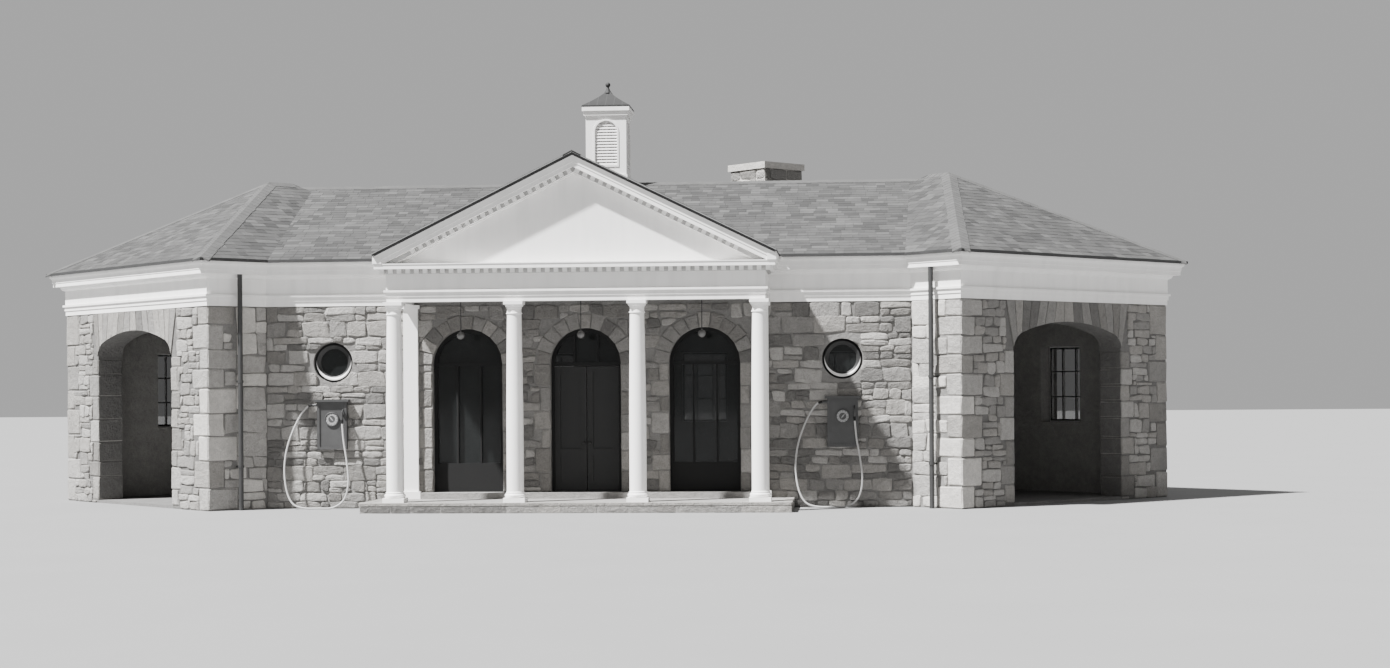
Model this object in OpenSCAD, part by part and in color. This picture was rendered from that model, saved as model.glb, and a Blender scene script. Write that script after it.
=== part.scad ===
// Stone filling station house with a pedimented portico on four columns and two angled wings.
// X runs along the front, Y goes into the building, Z is up from the ground.
// The origin is on the ground under the middle of the main front wall.

/* [Plan] */
// Distance from the centre line to the front corner of each wing
wing_corner_x = 6120; // [5800:10:6600]
// How far the wing corners stand in front of the main wall
wing_corner_y = 760; // [500:10:900]
// Length of the front wall of each wing
wing_front = 5320; // [5000:10:5600]
// Depth of each wing, from its front wall to the back corner
wing_depth = 5800; // [5500:10:6000]
// Thickness of the stone walls
wall_t = 450; // [350:10:500]

/* [Heights] */
// Top of the portico platform
platform_h = 160; // [120:5:190]
// Top of the floor behind the front wall
floor_h = 260; // [220:5:300]
// Top of the floor in the wings
bay_floor_h = 50; // [30:5:100]
// Underside of the entablature
entab_z = 3365; // [3250:5:3420]
// Top of the walls and of the cornice
plate_z = 4100; // [4050:5:4150]

/* [Roofs] */
// How far the roof edge stands out from the walls
eave = 250; // [200:10:280]
// Rise of the main roof for each unit of run
main_pitch = 0.41; // [0.38:0.005:0.43]
// Rise of the wing roofs for each unit of run
wing_pitch = 0.553; // [0.53:0.001:0.57]
// Height of the portico ridge
portico_ridge_z = 5715; // [5650:5:5750]
// Thickness of the roofs, measured straight down
roof_t = 150; // [120:5:180]

/* [Portico] */
// Distance from the centre line to the outer columns
col_outer_x = 2930; // [2850:10:3000]
// Distance from the centre line to the inner columns
col_inner_x = 985; // [950:5:1020]
// Distance of the column line in front of the wall
col_y = 1220; // [1100:10:1300]
// Diameter of a column at its foot
col_d = 272; // [260:2:280]
// Diameter of a column at its neck
col_neck_d = 228; // [220:2:240]

/* [Openings] */
// Width of the round-headed openings in the front wall
arch_w = 1174; // [1100:2:1220]
// Distance between the centres of those openings
arch_step = 1970; // [1900:5:2000]
// Height of the springing of those openings
arch_spring = 2380; // [2300:10:2450]
// Clear width of the vehicle arches in the wings
bay_w = 2800; // [2600:10:2900]
// Crown height of the vehicle arches
bay_crown = 3030; // [2950:10:3080]
// Diameter of the round windows
oculus_d = 660; // [600:10:700]

/* [Hidden] */
$fn = 48;
turn = 45;
big = 20000;
e1 = [cos(turn), sin(turn)];
e2 = [-sin(turn), cos(turn)];
bay_x = wing_front/2;
beam_half = 75;
frieze_x = col_outer_x + beam_half;
frieze_y = -col_y - beam_half;
eave_z = plate_z + 30;
corona_top = plate_z - 130;
soffit_z = entab_z + 220;
gap = 0.5;

// Plan of the right half, and the whole outline counterclockwise
corner_j = [wing_corner_x - wing_corner_y*tan(turn), 0];
corner_c = [wing_corner_x, -wing_corner_y];
corner_e = corner_c + wing_front*e1;
corner_q = corner_e + wing_depth*e2;
function flip(p) = [-p[0], p[1]];
plan = [flip(corner_j), corner_j, corner_c, corner_e, corner_q,
        flip(corner_q), flip(corner_e), flip(corner_c)];
entab_plan = [flip(corner_j), [-frieze_x, 0], [-frieze_x, frieze_y], [frieze_x, frieze_y], [frieze_x, 0],
              corner_j, corner_c, corner_e, corner_q,
              flip(corner_q), flip(corner_e), flip(corner_c)];

// Outline helpers: unit direction and outward normal of a side, and a corner moved outwards
function side_dir(v, i) = let(a = v[i % len(v)], b = v[(i + 1) % len(v)]) (b - a)/norm(b - a);
function side_out(v, i) = let(d = side_dir(v, i)) [d[1], -d[0]];
function moved(v, i, out) =
    let(n0 = side_out(v, i + len(v) - 1), n1 = side_out(v, i))
    v[i % len(v)] + out*(n0 + n1)/(1 + n0*n1);
function ring(v, out) = [for (i = [0:len(v) - 1]) moved(v, i, out)];

// A mitred strip along one side of an outline, between two offsets
module strip(v, i, inner, outer, z0, z1) {
    translate([0, 0, z0])
        linear_extrude(z1 - z0)
            polygon([moved(v, i, inner), moved(v, i + 1, inner),
                     moved(v, i + 1, outer), moved(v, i, outer)]);
}

// A profile swept along one side of an outline and mitred at both ends
module moulding(v, i, inner, outer, z0, z1) {
    a = v[i % len(v)];
    b = v[(i + 1) % len(v)];
    d = side_dir(v, i);
    reach = 800;
    intersection() {
        strip(v, i, inner, outer, z0, z1);
        translate([b[0] + d[0]*reach, b[1] + d[1]*reach, 0])
            rotate([90, 0, atan2(d[1], d[0]) - 90])
                linear_extrude(norm(b - a) + 2*reach)
                    children();
    }
}

// Wall of stone along one side of the plan
module wall(i, z1 = plate_z) {
    color("darkgray") strip(plan, i, -wall_t, 0, 0, z1);
}

// Places children in the frame of a wing: X along its front wall from the corner, Y inwards
module wing_frame(side) {
    mirror([side < 0 ? 1 : 0, 0, 0])
        translate([corner_c[0], corner_c[1], 0])
            rotate([0, 0, turn])
                children();
}

// Round-headed outline, its foot at z0
module round_head(w, z0, spring) {
    translate([-w/2, z0]) square([w, spring - z0]);
    translate([0, spring]) circle(d = w);
}

// Three-centred outline of a vehicle arch
module bay_outline(w = bay_w, drop = 0) {
    rise = 480;
    haunch = 300;
    spring = bay_crown - rise;
    crown_r = (pow(w/2, 2) + rise*rise - w*haunch)/(2*(rise - haunch));
    crown_c = bay_crown - crown_r;
    run = w/2 - haunch;
    reach = 1.5;
    translate([-w/2, drop]) square([w, spring - drop]);
    for (s = [-1, 1]) translate([s*run, spring]) circle(r = haunch);
    intersection() {
        translate([0, crown_c]) circle(r = crown_r, $fn = 96);
        polygon([[-run*0.5, spring - 500], [run*0.5, spring - 500], [run, spring],
                 [run*reach, crown_c + (spring - crown_c)*reach],
                 [-run*reach, crown_c + (spring - crown_c)*reach], [-run, spring]]);
    }
}

// Cuts an upright outline through a wall that stands along X
module cut_through(y0, y1) {
    translate([0, y1, 0]) rotate([90, 0, 0]) linear_extrude(y1 - y0) children();
}

oculus_x = 4230;
oculus_z = 2427;
window_w = 900;
window_z0 = 1310;
window_z1 = 2680;
side_window_s = 2000;
rear_window_x = [-4200, -1500, 1500, 4200];

module window_hole(w, z0, z1) {
    translate([-w/2, z0]) square([w, z1 - z0]);
}

module front_wall_half(side) {
    color("darkgray") difference() {
        intersection() {
            strip(plan, 0, -wall_t, 0, 0, plate_z);
            translate([side > 0 ? arch_w/2 : -big, -1, -1])
                cube([big - arch_w/2, wall_t + 2, plate_z + 2]);
        }
        cut_through(-1, wall_t + 1) {
            translate([side*arch_step, 0]) round_head(arch_w, floor_h, arch_spring);
            translate([side*oculus_x, oculus_z]) circle(d = oculus_d);
        }
    }
}
module front_wall_left() { front_wall_half(-1); }
module front_wall_right() { front_wall_half(1); }

module front_wall_over_door() {
    color("darkgray") difference() {
        translate([-arch_w/2, 0, arch_spring]) cube([arch_w, wall_t, plate_z - arch_spring]);
        cut_through(-1, wall_t + 1) translate([0, arch_spring]) circle(d = arch_w);
    }
}

module return_walls() {
    wall(7);
    wall(1);
}

module wing_front_wall(side) {
    color("darkgray") difference() {
        strip(plan, side > 0 ? 2 : 6, -wall_t, 0, 0, plate_z);
        wing_frame(side) cut_through(-1, wall_t + 1) translate([bay_x, 0]) bay_outline(drop = -1);
    }
}
module left_wing_front_wall() { wing_front_wall(-1); }
module right_wing_front_wall() { wing_front_wall(1); }

// Places an upright outline on the side wall of a wing, through its thickness
module on_side_wall(side, y0, y1) {
    wing_frame(side)
        translate([wing_front - y1, 0, 0])
            rotate([90, 0, 90]) linear_extrude(y1 - y0)
                translate([side_window_s, 0]) children();
}

module wing_side_wall(side) {
    color("darkgray") difference() {
        strip(plan, side > 0 ? 3 : 5, -wall_t, 0, 0, plate_z);
        on_side_wall(side, -1, wall_t + 1) window_hole(window_w, window_z0, window_z1);
    }
}
module left_wing_side_wall() { wing_side_wall(-1); }
module right_wing_side_wall() { wing_side_wall(1); }

module rear_wall() {
    color("darkgray") difference() {
        wall(4);
        for (x = rear_window_x)
            translate([x, 0, 0])
                cut_through(corner_q[1] - wall_t - 1, corner_q[1] + 1)
                    window_hole(window_w, window_z0, window_z1);
    }
}

step_w = 5440;
step_d = 220;
platform_w = 6860;
platform_d = 1570;
module portico_platform() {
    color("silver") {
        translate([-platform_w/2, -platform_d, 0]) cube([platform_w, platform_d, platform_h]);
        translate([-step_w/2, -step_d, 0]) cube([step_w, step_d, floor_h]);
    }
}

inner_ring = ring(plan, -wall_t);
module floor_slab() {
    color("gray") {
        linear_extrude(bay_floor_h) polygon(inner_ring);
        linear_extrude(floor_h) polygon([inner_ring[0], inner_ring[1], inner_ring[4], inner_ring[5]]);
        translate([-arch_w/2, 0, 0]) cube([arch_w, wall_t + 1, floor_h]);
        for (side = [-1, 1]) wing_frame(side)
            translate([bay_x - bay_w/2, 0, 0]) cube([bay_w, wall_t + 1, bay_floor_h]);
    }
}

// Roof forms: each outer form is a solid above the wall plate
main_ridge_y = corner_q[1]/2;
main_ridge_z = eave_z + main_pitch*(main_ridge_y + eave);
wing_ridge_z = eave_z + wing_pitch*(bay_x + eave);
porch_eave = eave - 35;
portico_eave_x = frieze_x + porch_eave;
roof_front_y = frieze_y - porch_eave - 10;

module gable_form(run0, run1, ridge, edge_z, top_z, base_z) {
    polygon([[run0, base_z], [run0, edge_z], [ridge, top_z], [run1, edge_z], [run1, base_z]]);
}

module main_form(drop = 0) {
    intersection() {
        translate([-big, 0, -drop]) rotate([90, 0, 90]) linear_extrude(2*big)
            gable_form(-eave, corner_q[1] + eave, main_ridge_y, eave_z, main_ridge_z,
                       drop > 0 ? 3000 : plate_z);
        wing_slopes(-1, drop);
        wing_slopes(1, drop);
    }
}

// The front and outer slopes of a wing, run on past the wing so that they trim the main roof
sky = eave_z + 4000;
module wing_slopes(side, drop) {
    inset = 600;
    wing_frame(side) translate([0, 0, -drop]) intersection() {
        translate([0, big, 0]) rotate([90, 0, 0]) linear_extrude(big - inset)
            polygon([[-big, 0], [-big, sky], [bay_x, sky], [bay_x, wing_ridge_z],
                     [wing_front + eave, eave_z], [wing_front + eave, 0]]);
        translate([-big, 0, 0]) rotate([90, 0, 90]) linear_extrude(2*big)
            polygon([[-eave, 0], [-eave, eave_z], [bay_x, wing_ridge_z], [bay_x, sky], [big, sky], [big, 0]]);
    }
}

// The rear slope of the main roof, run on sideways so that it trims the wing roofs
module rear_slope() {
    edge = corner_q[1] + eave;
    translate([-big, 0, 0]) rotate([90, 0, 90]) linear_extrude(2*big)
        polygon([[-big, 0], [-big, sky], [main_ridge_y, sky], [main_ridge_y, main_ridge_z],
                 [edge, eave_z], [edge, 0]]);
}

module wing_form(side, drop = 0, base = plate_z) {
    translate([0, 0, -drop]) intersection() {
        wing_frame(side)
            translate([0, wing_depth + eave, 0]) rotate([90, 0, 0]) linear_extrude(wing_depth + 2*eave)
                gable_form(-eave, wing_front + eave, bay_x, eave_z, wing_ridge_z, base);
        wing_frame(side)
            translate([-eave, 0, 0]) rotate([90, 0, 90]) linear_extrude(wing_front + 2*eave)
                polygon([[-eave, base], [-eave, eave_z], [bay_x, wing_ridge_z],
                         [wing_depth - bay_x, wing_ridge_z], [wing_depth + eave, eave_z],
                         [wing_depth + eave, base]]);
        rear_slope();
    }
}

module portico_form(drop = 0) {
    translate([0, main_ridge_y, -drop]) rotate([90, 0, 0])
        linear_extrude(main_ridge_y - roof_front_y)
            gable_form(-portico_eave_x, portico_eave_x, 0, eave_z, portico_ridge_z,
                       drop > 0 ? 3000 : plate_z);
}

// Space under the roofs, inside the walls
module attic() {
    intersection() {
        union() {
            main_form(roof_t);
            for (side = [-1, 1]) wing_form(side, roof_t, 3000);
        }
        translate([0, 0, plate_z]) linear_extrude(3000) polygon(inner_ring);
    }
}

module main_roof() {
    color("dimgray") difference() {
        main_form();
        for (side = [-1, 1]) wing_form(side, -gap, 3000);
        attic();
    }
}
module wing_roof(side) {
    color("dimgray") difference() {
        wing_form(side);
        attic();
    }
}
module left_wing_roof() { wing_roof(-1); }
module right_wing_roof() { wing_roof(1); }

module portico_roof() {
    color("dimgray") difference() {
        portico_form();
        main_form();
        for (y = [-1, 1]) translate([0, y, 0]) portico_form(portico_roof_t);
    }
}

// Entablature outline: fascias, taenia, frieze, bed mould, corona and crown moulding
frieze_top = 3795;
bed_out = 95;
corona_z = 3885;
corona_out = 190;
crown_in = 200;
crown_out = eave - 10;
porch_crown_out = porch_eave - 6;
fillet = 30;
bed_points = [for (t = [0:15:90])
    [fillet + (bed_out - fillet)*sin(t), corona_z - (corona_z - frieze_top)*cos(t)*0.8]];
crown_mid_z = (corona_top + plate_z)/2;
function crown_points(out) = let(mid = (crown_in + out)/2) concat(
    [for (t = [0:22.5:90])
        [crown_in + (mid - crown_in)*(1 - cos(t)), corona_top + (crown_mid_z - corona_top)*sin(t)]],
    [for (t = [22.5:22.5:90])
        [mid + (out - mid)*sin(t), crown_mid_z + (plate_z - 15 - crown_mid_z)*(1 - cos(t))]],
    [[out, plate_z]]);
taenia_z = entab_z + 155;
module entab_profile(back = 0, crown = true, out = crown_out) {
    polygon(concat(
        [[back, entab_z], [25, entab_z], [25, entab_z + 85], [40, entab_z + 85], [40, taenia_z],
         [65, taenia_z], [65, taenia_z + 35], [fillet, taenia_z + 35], [fillet, frieze_top]],
        bed_points,
        [[corona_out, corona_z], [corona_out, corona_top - 20], [crown_in, corona_top - 15]],
        crown ? crown_points(out) : [[crown_in, corona_top]],
        [[back, crown ? plate_z : corona_top]]));
}
module entab_run(i) {
    moulding(entab_plan, i, gap, 300, entab_z, plate_z) entab_profile();
}

module main_entablature() {
    color("whitesmoke") for (i = [0, 4, 8]) entab_run(i);
}
module left_wing_entablature() {
    color("whitesmoke") for (i = [9, 10, 11]) entab_run(i);
}
module right_wing_entablature() {
    color("whitesmoke") for (i = [5, 6, 7]) entab_run(i);
}
module portico_entablature() {
    back = -2*beam_half;
    color("whitesmoke") difference() {
        union() {
            for (i = [1, 3]) moulding(entab_plan, i, back, 300, entab_z, plate_z)
                entab_profile(back, true, porch_crown_out);
            moulding(entab_plan, 2, back, 300, entab_z, plate_z) entab_profile(back, false);
        }
        translate([-frieze_x - gap, -gap, entab_z - 1]) cube([2*frieze_x + 2*gap, 1000, 1000]);
    }
}

dentil_w = 70;
dentil_step = 140;
dentil_h = 70;
dentil_out = 50;
dentil_z = corona_z - gap - dentil_h;
module dentils() {
    count = floor((frieze_x + bed_out)/dentil_step);
    side_count = floor((-frieze_y - eave)/dentil_step);
    rake_count = floor((portico_eave_x - 500)/cos(rake_angle)/dentil_step);
    color("whitesmoke") {
        for (k = [-count:count])
            translate([k*dentil_step - dentil_w/2, frieze_y - bed_out - dentil_out, dentil_z])
                cube([dentil_w, dentil_out, dentil_h]);
        for (side = [-1, 1]) mirror([side > 0 ? 1 : 0, 0, 0]) {
            for (k = [0:side_count])
                translate([-frieze_x - bed_out - dentil_out, frieze_y + k*dentil_step, dentil_z])
                    cube([dentil_out, dentil_w, dentil_h]);
            translate([0, frieze_y - bed_out - gap - dentil_out, portico_ridge_z - portico_roof_t - gap])
                rotate([0, -rake_angle, 0])
                    for (k = [0:rake_count - 1])
                        translate([-200 - k*dentil_step, 0, -rake_bed - gap - rake_dentil_h])
                            cube([dentil_w, dentil_out, rake_dentil_h]);
        }
    }
}

tympanum_t = 120;
end_block_w = 150;
tympanum_y = frieze_y + fillet;
portico_roof_t = 60;
rake_z = eave_z - portico_roof_t - gap;
rake_angle = atan2(portico_ridge_z - eave_z, portico_eave_x);
rake_bed = 160;
rake_dentil_h = 60;
module rake_profile() {
    polygon([[-fillet, 0], [-fillet, -250], [40, -250], [40, -234], [bed_out, -228], [bed_out, -rake_bed],
             [corona_out, -rake_bed], [corona_out, -98], [crown_in, -94], [crown_in, -78],
             [crown_in + 3, -40], [porch_crown_out - 4, -22], [porch_crown_out, 0]]);
}
module tympanum() {
    inner_x = frieze_x - 2*beam_half;
    side_z = rake_z + (portico_eave_x - frieze_x)*tan(rake_angle);
    color("whitesmoke")
        translate([0, tympanum_y + tympanum_t, 0]) rotate([90, 0, 0]) linear_extrude(tympanum_t)
            polygon([[-inner_x, corona_top], [inner_x, corona_top], [inner_x, plate_z], [frieze_x, plate_z],
                     [frieze_x, side_z], [0, portico_ridge_z - portico_roof_t - gap], [-frieze_x, side_z],
                     [-frieze_x, plate_z], [-inner_x, plate_z]]);
}
module raking_cornice() {
    color("whitesmoke")
        for (side = [-1, 1]) mirror([side > 0 ? 1 : 0, 0, 0])
            difference() {
                union() {
                    intersection() {
                        translate([-portico_eave_x, frieze_y, rake_z]) rotate([0, -rake_angle, 0])
                            translate([-500, 0, 0]) rotate([90, 0, 90]) linear_extrude(5000)
                                mirror([1, 0]) rake_profile();
                        translate([-portico_eave_x, -big/2, corona_top + gap])
                            cube([portico_eave_x, big, 3000]);
                    }
                    translate([-portico_eave_x, frieze_y - porch_crown_out, corona_top + gap])
                        cube([end_block_w, porch_crown_out - 60, rake_z - corona_top - gap]);
                }
                strip(entab_plan, 1, -2*beam_half - gap, 300, corona_top - 1, plate_z);
            }
}

module portico_ceiling() {
    color("white")
        translate([-col_outer_x + beam_half, -col_y + beam_half, soffit_z])
            cube([2*(col_outer_x - beam_half), col_y - beam_half, 30]);
}

// Column with square plinth and abacus, round base, swelling shaft and neck ring
module column() {
    base_w = 346;
    cap_w = 304;
    h = entab_z - platform_h;
    r0 = col_d/2;
    r1 = col_neck_d/2;
    shaft_z0 = 170;
    shaft_z1 = h - 210;
    function shaft_r(t) = r0 - (r0 - r1)*(t < 0.33 ? 0 : pow((t - 0.33)/0.67, 1.6));
    color("white") {
        translate([-base_w/2, -base_w/2, 0]) cube([base_w, base_w, 70]);
        rotate_extrude() polygon(concat(
            [[0, 70]],
            [for (a = [-90:22.5:90]) [base_w/2 - 38 + 35*cos(a), 105 + 35*sin(a)]],
            [[r0 + 12, 140], [r0 + 12, 158], [r0, shaft_z0]],
            [for (k = [1:8]) let(t = k/8) [shaft_r(t), shaft_z0 + t*(shaft_z1 - shaft_z0)]],
            [[r1 + 14, shaft_z1 + 6], [r1 + 14, shaft_z1 + 24], [r1, shaft_z1 + 30], [r1, h - 120],
             [r1 + 8, h - 112], [r1 + 8, h - 100]],
            [for (a = [0:30:90]) [r1 + 8 + 27*sin(a), h - 54 - 42*cos(a)]],
            [[0, h - 54]]));
        translate([-cap_w/2, -cap_w/2, h - 54]) cube([cap_w, cap_w, 54]);
    }
}
module place_column(x) { translate([x, -col_y, platform_h]) column(); }
module column_1() { place_column(-col_outer_x); }
module column_2() { place_column(-col_inner_x); }
module column_3() { place_column(col_inner_x); }
module column_4() { place_column(col_outer_x); }

pilaster_w = 240;
pilaster_d = 80;
module pilasters() {
    color("white") for (s = [-1, 1]) translate([s*(frieze_x - pilaster_w/2 + 20), 0, 0]) {
        // shaft, base and cap: how far each stands out, its foot and its height
        for (part = [[0, platform_h, entab_z - platform_h], [35, platform_h, 120], [30, entab_z - 60, 60]])
            translate([-pilaster_w/2 - part[0], -pilaster_d - part[0], part[1]])
                cube([pilaster_w + 2*part[0], pilaster_d + part[0], part[2]]);
    }
}

// Cupola on the main ridge
cup_w = 730;
cup_wall = 60;
cup_z0 = 5500;
cup_z1 = 7010;
louvre_w = 400;
louvre_z0 = 5990;
louvre_z1 = 6590;
module cupola() {
    color("white") difference() {
        union() {
            translate([-cup_w/2, main_ridge_y - cup_w/2, cup_z0]) cube([cup_w, cup_w, cup_z1 - cup_z0]);
            for (band = [[62, cup_z1 - 45, 75], [34, cup_z1 - 125, 81], [18, cup_z0, 320]])
                translate([-cup_w/2 - band[0], main_ridge_y - cup_w/2 - band[0], band[1]])
                    cube([cup_w + 2*band[0], cup_w + 2*band[0], band[2]]);
            translate([0, main_ridge_y, 0]) for (q = [0, 90])
                rotate([0, 0, q]) cut_through(-cup_w/2 - 12, cup_w/2 + 12)
                    round_head(louvre_w + 60, louvre_z0 - 30, louvre_z1);
        }
        translate([-cup_w/2 + cup_wall, main_ridge_y - cup_w/2 + cup_wall, cup_z0 - 1])
            cube([cup_w - 2*cup_wall, cup_w - 2*cup_wall, cup_z1 - cup_z0 - 60]);
        translate([0, main_ridge_y, 0]) for (q = [0, 90])
            rotate([0, 0, q]) cut_through(-cup_w, cup_w)
                round_head(louvre_w, louvre_z0, louvre_z1);
        main_form();
        portico_form();
    }
}
module cupola_louvres() {
    pitch = 54;
    color("gainsboro") translate([0, main_ridge_y, 0]) for (q = [0:90:270]) rotate([0, 0, q])
        intersection() {
            translate([0, -cup_w/2 + 42, 0]) cut_through(-30, 10)
                round_head(louvre_w, louvre_z0, louvre_z1);
            union() {
                for (k = [0:14])
                    translate([-louvre_w/2, -cup_w/2 + 30, louvre_z0 + 25 + k*pitch])
                        rotate([45, 0, 0]) translate([0, -30, 0]) cube([louvre_w, 62, 10]);
                translate([-12, -cup_w/2 + 40, louvre_z0]) cube([24, 12, 800]);
            }
        }
}
module cupola_roof() {
    half = 430;
    z0 = cup_z1 + 30;
    lip = 25;
    top_h = 335;
    tip = 14;
    steps = 8;
    curve = [for (k = [0:steps]) let(t = k/steps) [tip + (half - tip)*pow(1 - t, 1.35), lip + t*top_h]];
    outline = concat([[half, 0]], curve,
                     [for (k = [steps:-1:0]) [-curve[k][0], curve[k][1]]], [[-half, 0]]);
    color("darkslategray") translate([0, main_ridge_y, z0]) {
        intersection() {
            translate([0, half, 0]) rotate([90, 0, 0]) linear_extrude(2*half) polygon(outline);
            translate([-half, 0, 0]) rotate([90, 0, 90]) linear_extrude(2*half) polygon(outline);
        }
        rotate_extrude($fn = 24) polygon(concat(
            [[0, lip + top_h - 20], [12, lip + top_h - 20], [12, lip + top_h + 40]],
            [for (a = [-70:20:90]) [46*cos(a), lip + top_h + 84 + 46*sin(a)]]));
    }
}

chimney_w = 940;
chimney_x = 2800;
chimney_y = 5180;
chimney_z = 6040;
chimney_cap = 120;
module chimney() {
    color("darkgray") difference() {
        translate([chimney_x, chimney_y, 0]) rotate([0, 0, turn]) {
            translate([-chimney_w/2, -chimney_w/2, plate_z + 100])
                cube([chimney_w, chimney_w, chimney_z - plate_z - 100]);
            translate([-chimney_w/2 - 40, -chimney_w/2 - 40, chimney_z])
                cube([chimney_w + 80, chimney_w + 80, chimney_cap]);
        }
        main_form();
        translate([chimney_x, chimney_y, chimney_z - 400]) rotate([0, 0, turn])
            for (s = [-1, 1]) translate([s*210 - 120, -150, 0]) cube([240, 300, 1000]);
    }
}

gutter_d = 32;
pipe_out = 142;
module gutters_and_downspouts() {
    color("dimgray") {
        for (i = [0, 4, 5, 6, 7, 8, 9, 10, 11])
            strip(entab_plan, i, eave + gap, eave + gutter_d, eave_z - 45, eave_z);
        for (side = [-1, 1]) wing_frame(side) translate([-pipe_out, 515, 0]) {
            cylinder(d = 80, h = corona_z - 1);
            for (z = [700, 2100]) translate([0, 0, z]) {
                cylinder(d = 100, h = 40);
                translate([0, -15, 5]) cube([pipe_out - gap, 30, 30]);
            }
        }
    }
}

// Fixed windows and doors: ring frames, arched frames, sashes and glass
oculus_y = 130;
module oculus_frames() {
    // moulded ring: it slopes out to the stone and in to the glass from a ridge
    outer = oculus_d/2;
    ridge = outer - 48;
    inner = outer - 102;
    color("white") for (s = [-1, 1])
        translate([s*oculus_x, oculus_y, oculus_z]) rotate([90, 0, 0]) rotate_extrude()
            polygon([[inner, 0], [outer, 0], [outer, 20], [ridge + 8, 70], [ridge - 4, 70], [inner, 24]]);
}

frame_y = 150;
frame_t = 60;
bar = 60;
jamb = 45;
module arch_windows() {
    color("white") for (s = [-1, 1]) translate([s*arch_step, 0, 0])
        cut_through(frame_y, frame_y + frame_t) {
            difference() {
                round_head(arch_w - 2, floor_h, arch_spring);
                round_head(arch_w - 2*bar, floor_h + 480, arch_spring);
            }
            for (x = [-195, 195]) translate([x - 15, floor_h]) square([30, arch_spring - floor_h]);
            translate([1 - arch_w/2, arch_spring - 25]) square([arch_w - 2, 50]);
        }
}

door_h = 2080;
module door_frame() {
    color("white") cut_through(frame_y, frame_y + frame_t) {
        difference() {
            round_head(arch_w - 2, floor_h, arch_spring);
            translate([-arch_w/2 + jamb, floor_h - 1]) square([arch_w - 2*jamb, door_h]);
            intersection() {
                round_head(arch_w - 2*bar, floor_h, arch_spring);
                translate([-arch_w/2, arch_spring + 25]) square([arch_w, arch_w]);
            }
        }
        for (x = [-195, 195]) translate([x - 12, arch_spring]) square([24, 540]);
    }
}

// Leaves open inwards on knuckles behind their back face
leaf_t = 45;
leaf_h = door_h - 16;
leaf_w = arch_w/2 - jamb - 11;
knuckle_r = 8;
knuckle_y = leaf_t + knuckle_r + 1;
module leaf() {
    stile = 95;
    rail_z = 700;
    glass_h = leaf_h - rail_z - stile;
    difference() {
        cube([leaf_w, leaf_t, leaf_h]);
        translate([stile, -1, rail_z]) cube([leaf_w - 2*stile, leaf_t/2 - 3, glass_h]);
        translate([stile, leaf_t/2 + 4, rail_z]) cube([leaf_w - 2*stile, leaf_t, glass_h]);
        translate([stile, -1, 150]) cube([leaf_w - 2*stile, 13, 430]);
        translate([stile, leaf_t - 12, 150]) cube([leaf_w - 2*stile, 13, 430]);
    }
    for (z = [180, 1000, leaf_h - 280]) {
        translate([-2.5, knuckle_y, z]) cylinder(r = knuckle_r, h = 90);
        translate([-2.5, leaf_t - 1, z]) cube([40, 5, 90]);
    }
    translate([leaf_w - 45, 0, 800]) rotate([90, 0, 0]) rotate_extrude($fn = 24) polygon(knob_outline);
    translate([leaf_w - 45, leaf_t, 800]) rotate([-90, 0, 0])
        rotate_extrude($fn = 24) polygon(knob_outline);
}
knob_outline = [[0, -1], [24, -1], [24, 4], [9, 8], [9, 30], [22, 36], [26, 44], [22, 52], [0, 56]];
leaf_x = -arch_w/2 + jamb + 5;
leaf_y = frame_y + frame_t - leaf_t;
module left_door() {
    color("slategray") translate([leaf_x, leaf_y, floor_h + 8]) leaf();
}
module right_door() {
    color("slategray") mirror([1, 0, 0]) translate([leaf_x, leaf_y, floor_h + 8]) leaf();
}

module sash_frame(w, h) {
    difference() {
        square([w, h]);
        translate([50, 50]) square([w - 100, h - 100]);
    }
    for (k = [1, 2]) translate([0, h*k/3 - 12]) square([w, 24]);
    for (k = [1, 2]) translate([w*k/3 - 12, 0]) square([24, h]);
}
module sash_windows() {
    color("white") {
        for (x = rear_window_x)
            translate([x, 0, 0]) cut_through(corner_q[1] - 200, corner_q[1] - 140)
                translate([-window_w/2, window_z0]) sash_frame(window_w, window_z1 - window_z0);
        for (side = [-1, 1]) on_side_wall(side, 140, 200)
            translate([-window_w/2, window_z0]) sash_frame(window_w, window_z1 - window_z0);
    }
}

glass_t = 8;
module front_glass() {
    color("lightblue", 0.5) {
        for (s = [-1, 1]) translate([s*arch_step, 0, 0])
            cut_through(frame_y + frame_t, frame_y + frame_t + glass_t)
                round_head(arch_w - 40, floor_h + 460, arch_spring);
        for (s = [-1, 1]) translate([s*oculus_x, oculus_y + glass_t, oculus_z]) rotate([90, 0, 0])
            cylinder(d = oculus_d - 20, h = glass_t);
        cut_through(frame_y + frame_t, frame_y + frame_t + glass_t) intersection() {
            round_head(arch_w - 40, floor_h, arch_spring);
            translate([-arch_w/2, arch_spring]) square([arch_w, arch_w]);
        }
    }
}
module back_glass() {
    color("lightblue", 0.5) {
        for (x = rear_window_x)
            translate([x, 0, 0]) cut_through(corner_q[1] - 208, corner_q[1] - 200)
                window_hole(window_w - 40, window_z0 + 20, window_z1 - 20);
        for (side = [-1, 1]) on_side_wall(side, 200, 208)
            window_hole(window_w - 40, window_z0 + 20, window_z1 - 20);
    }
}

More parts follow.
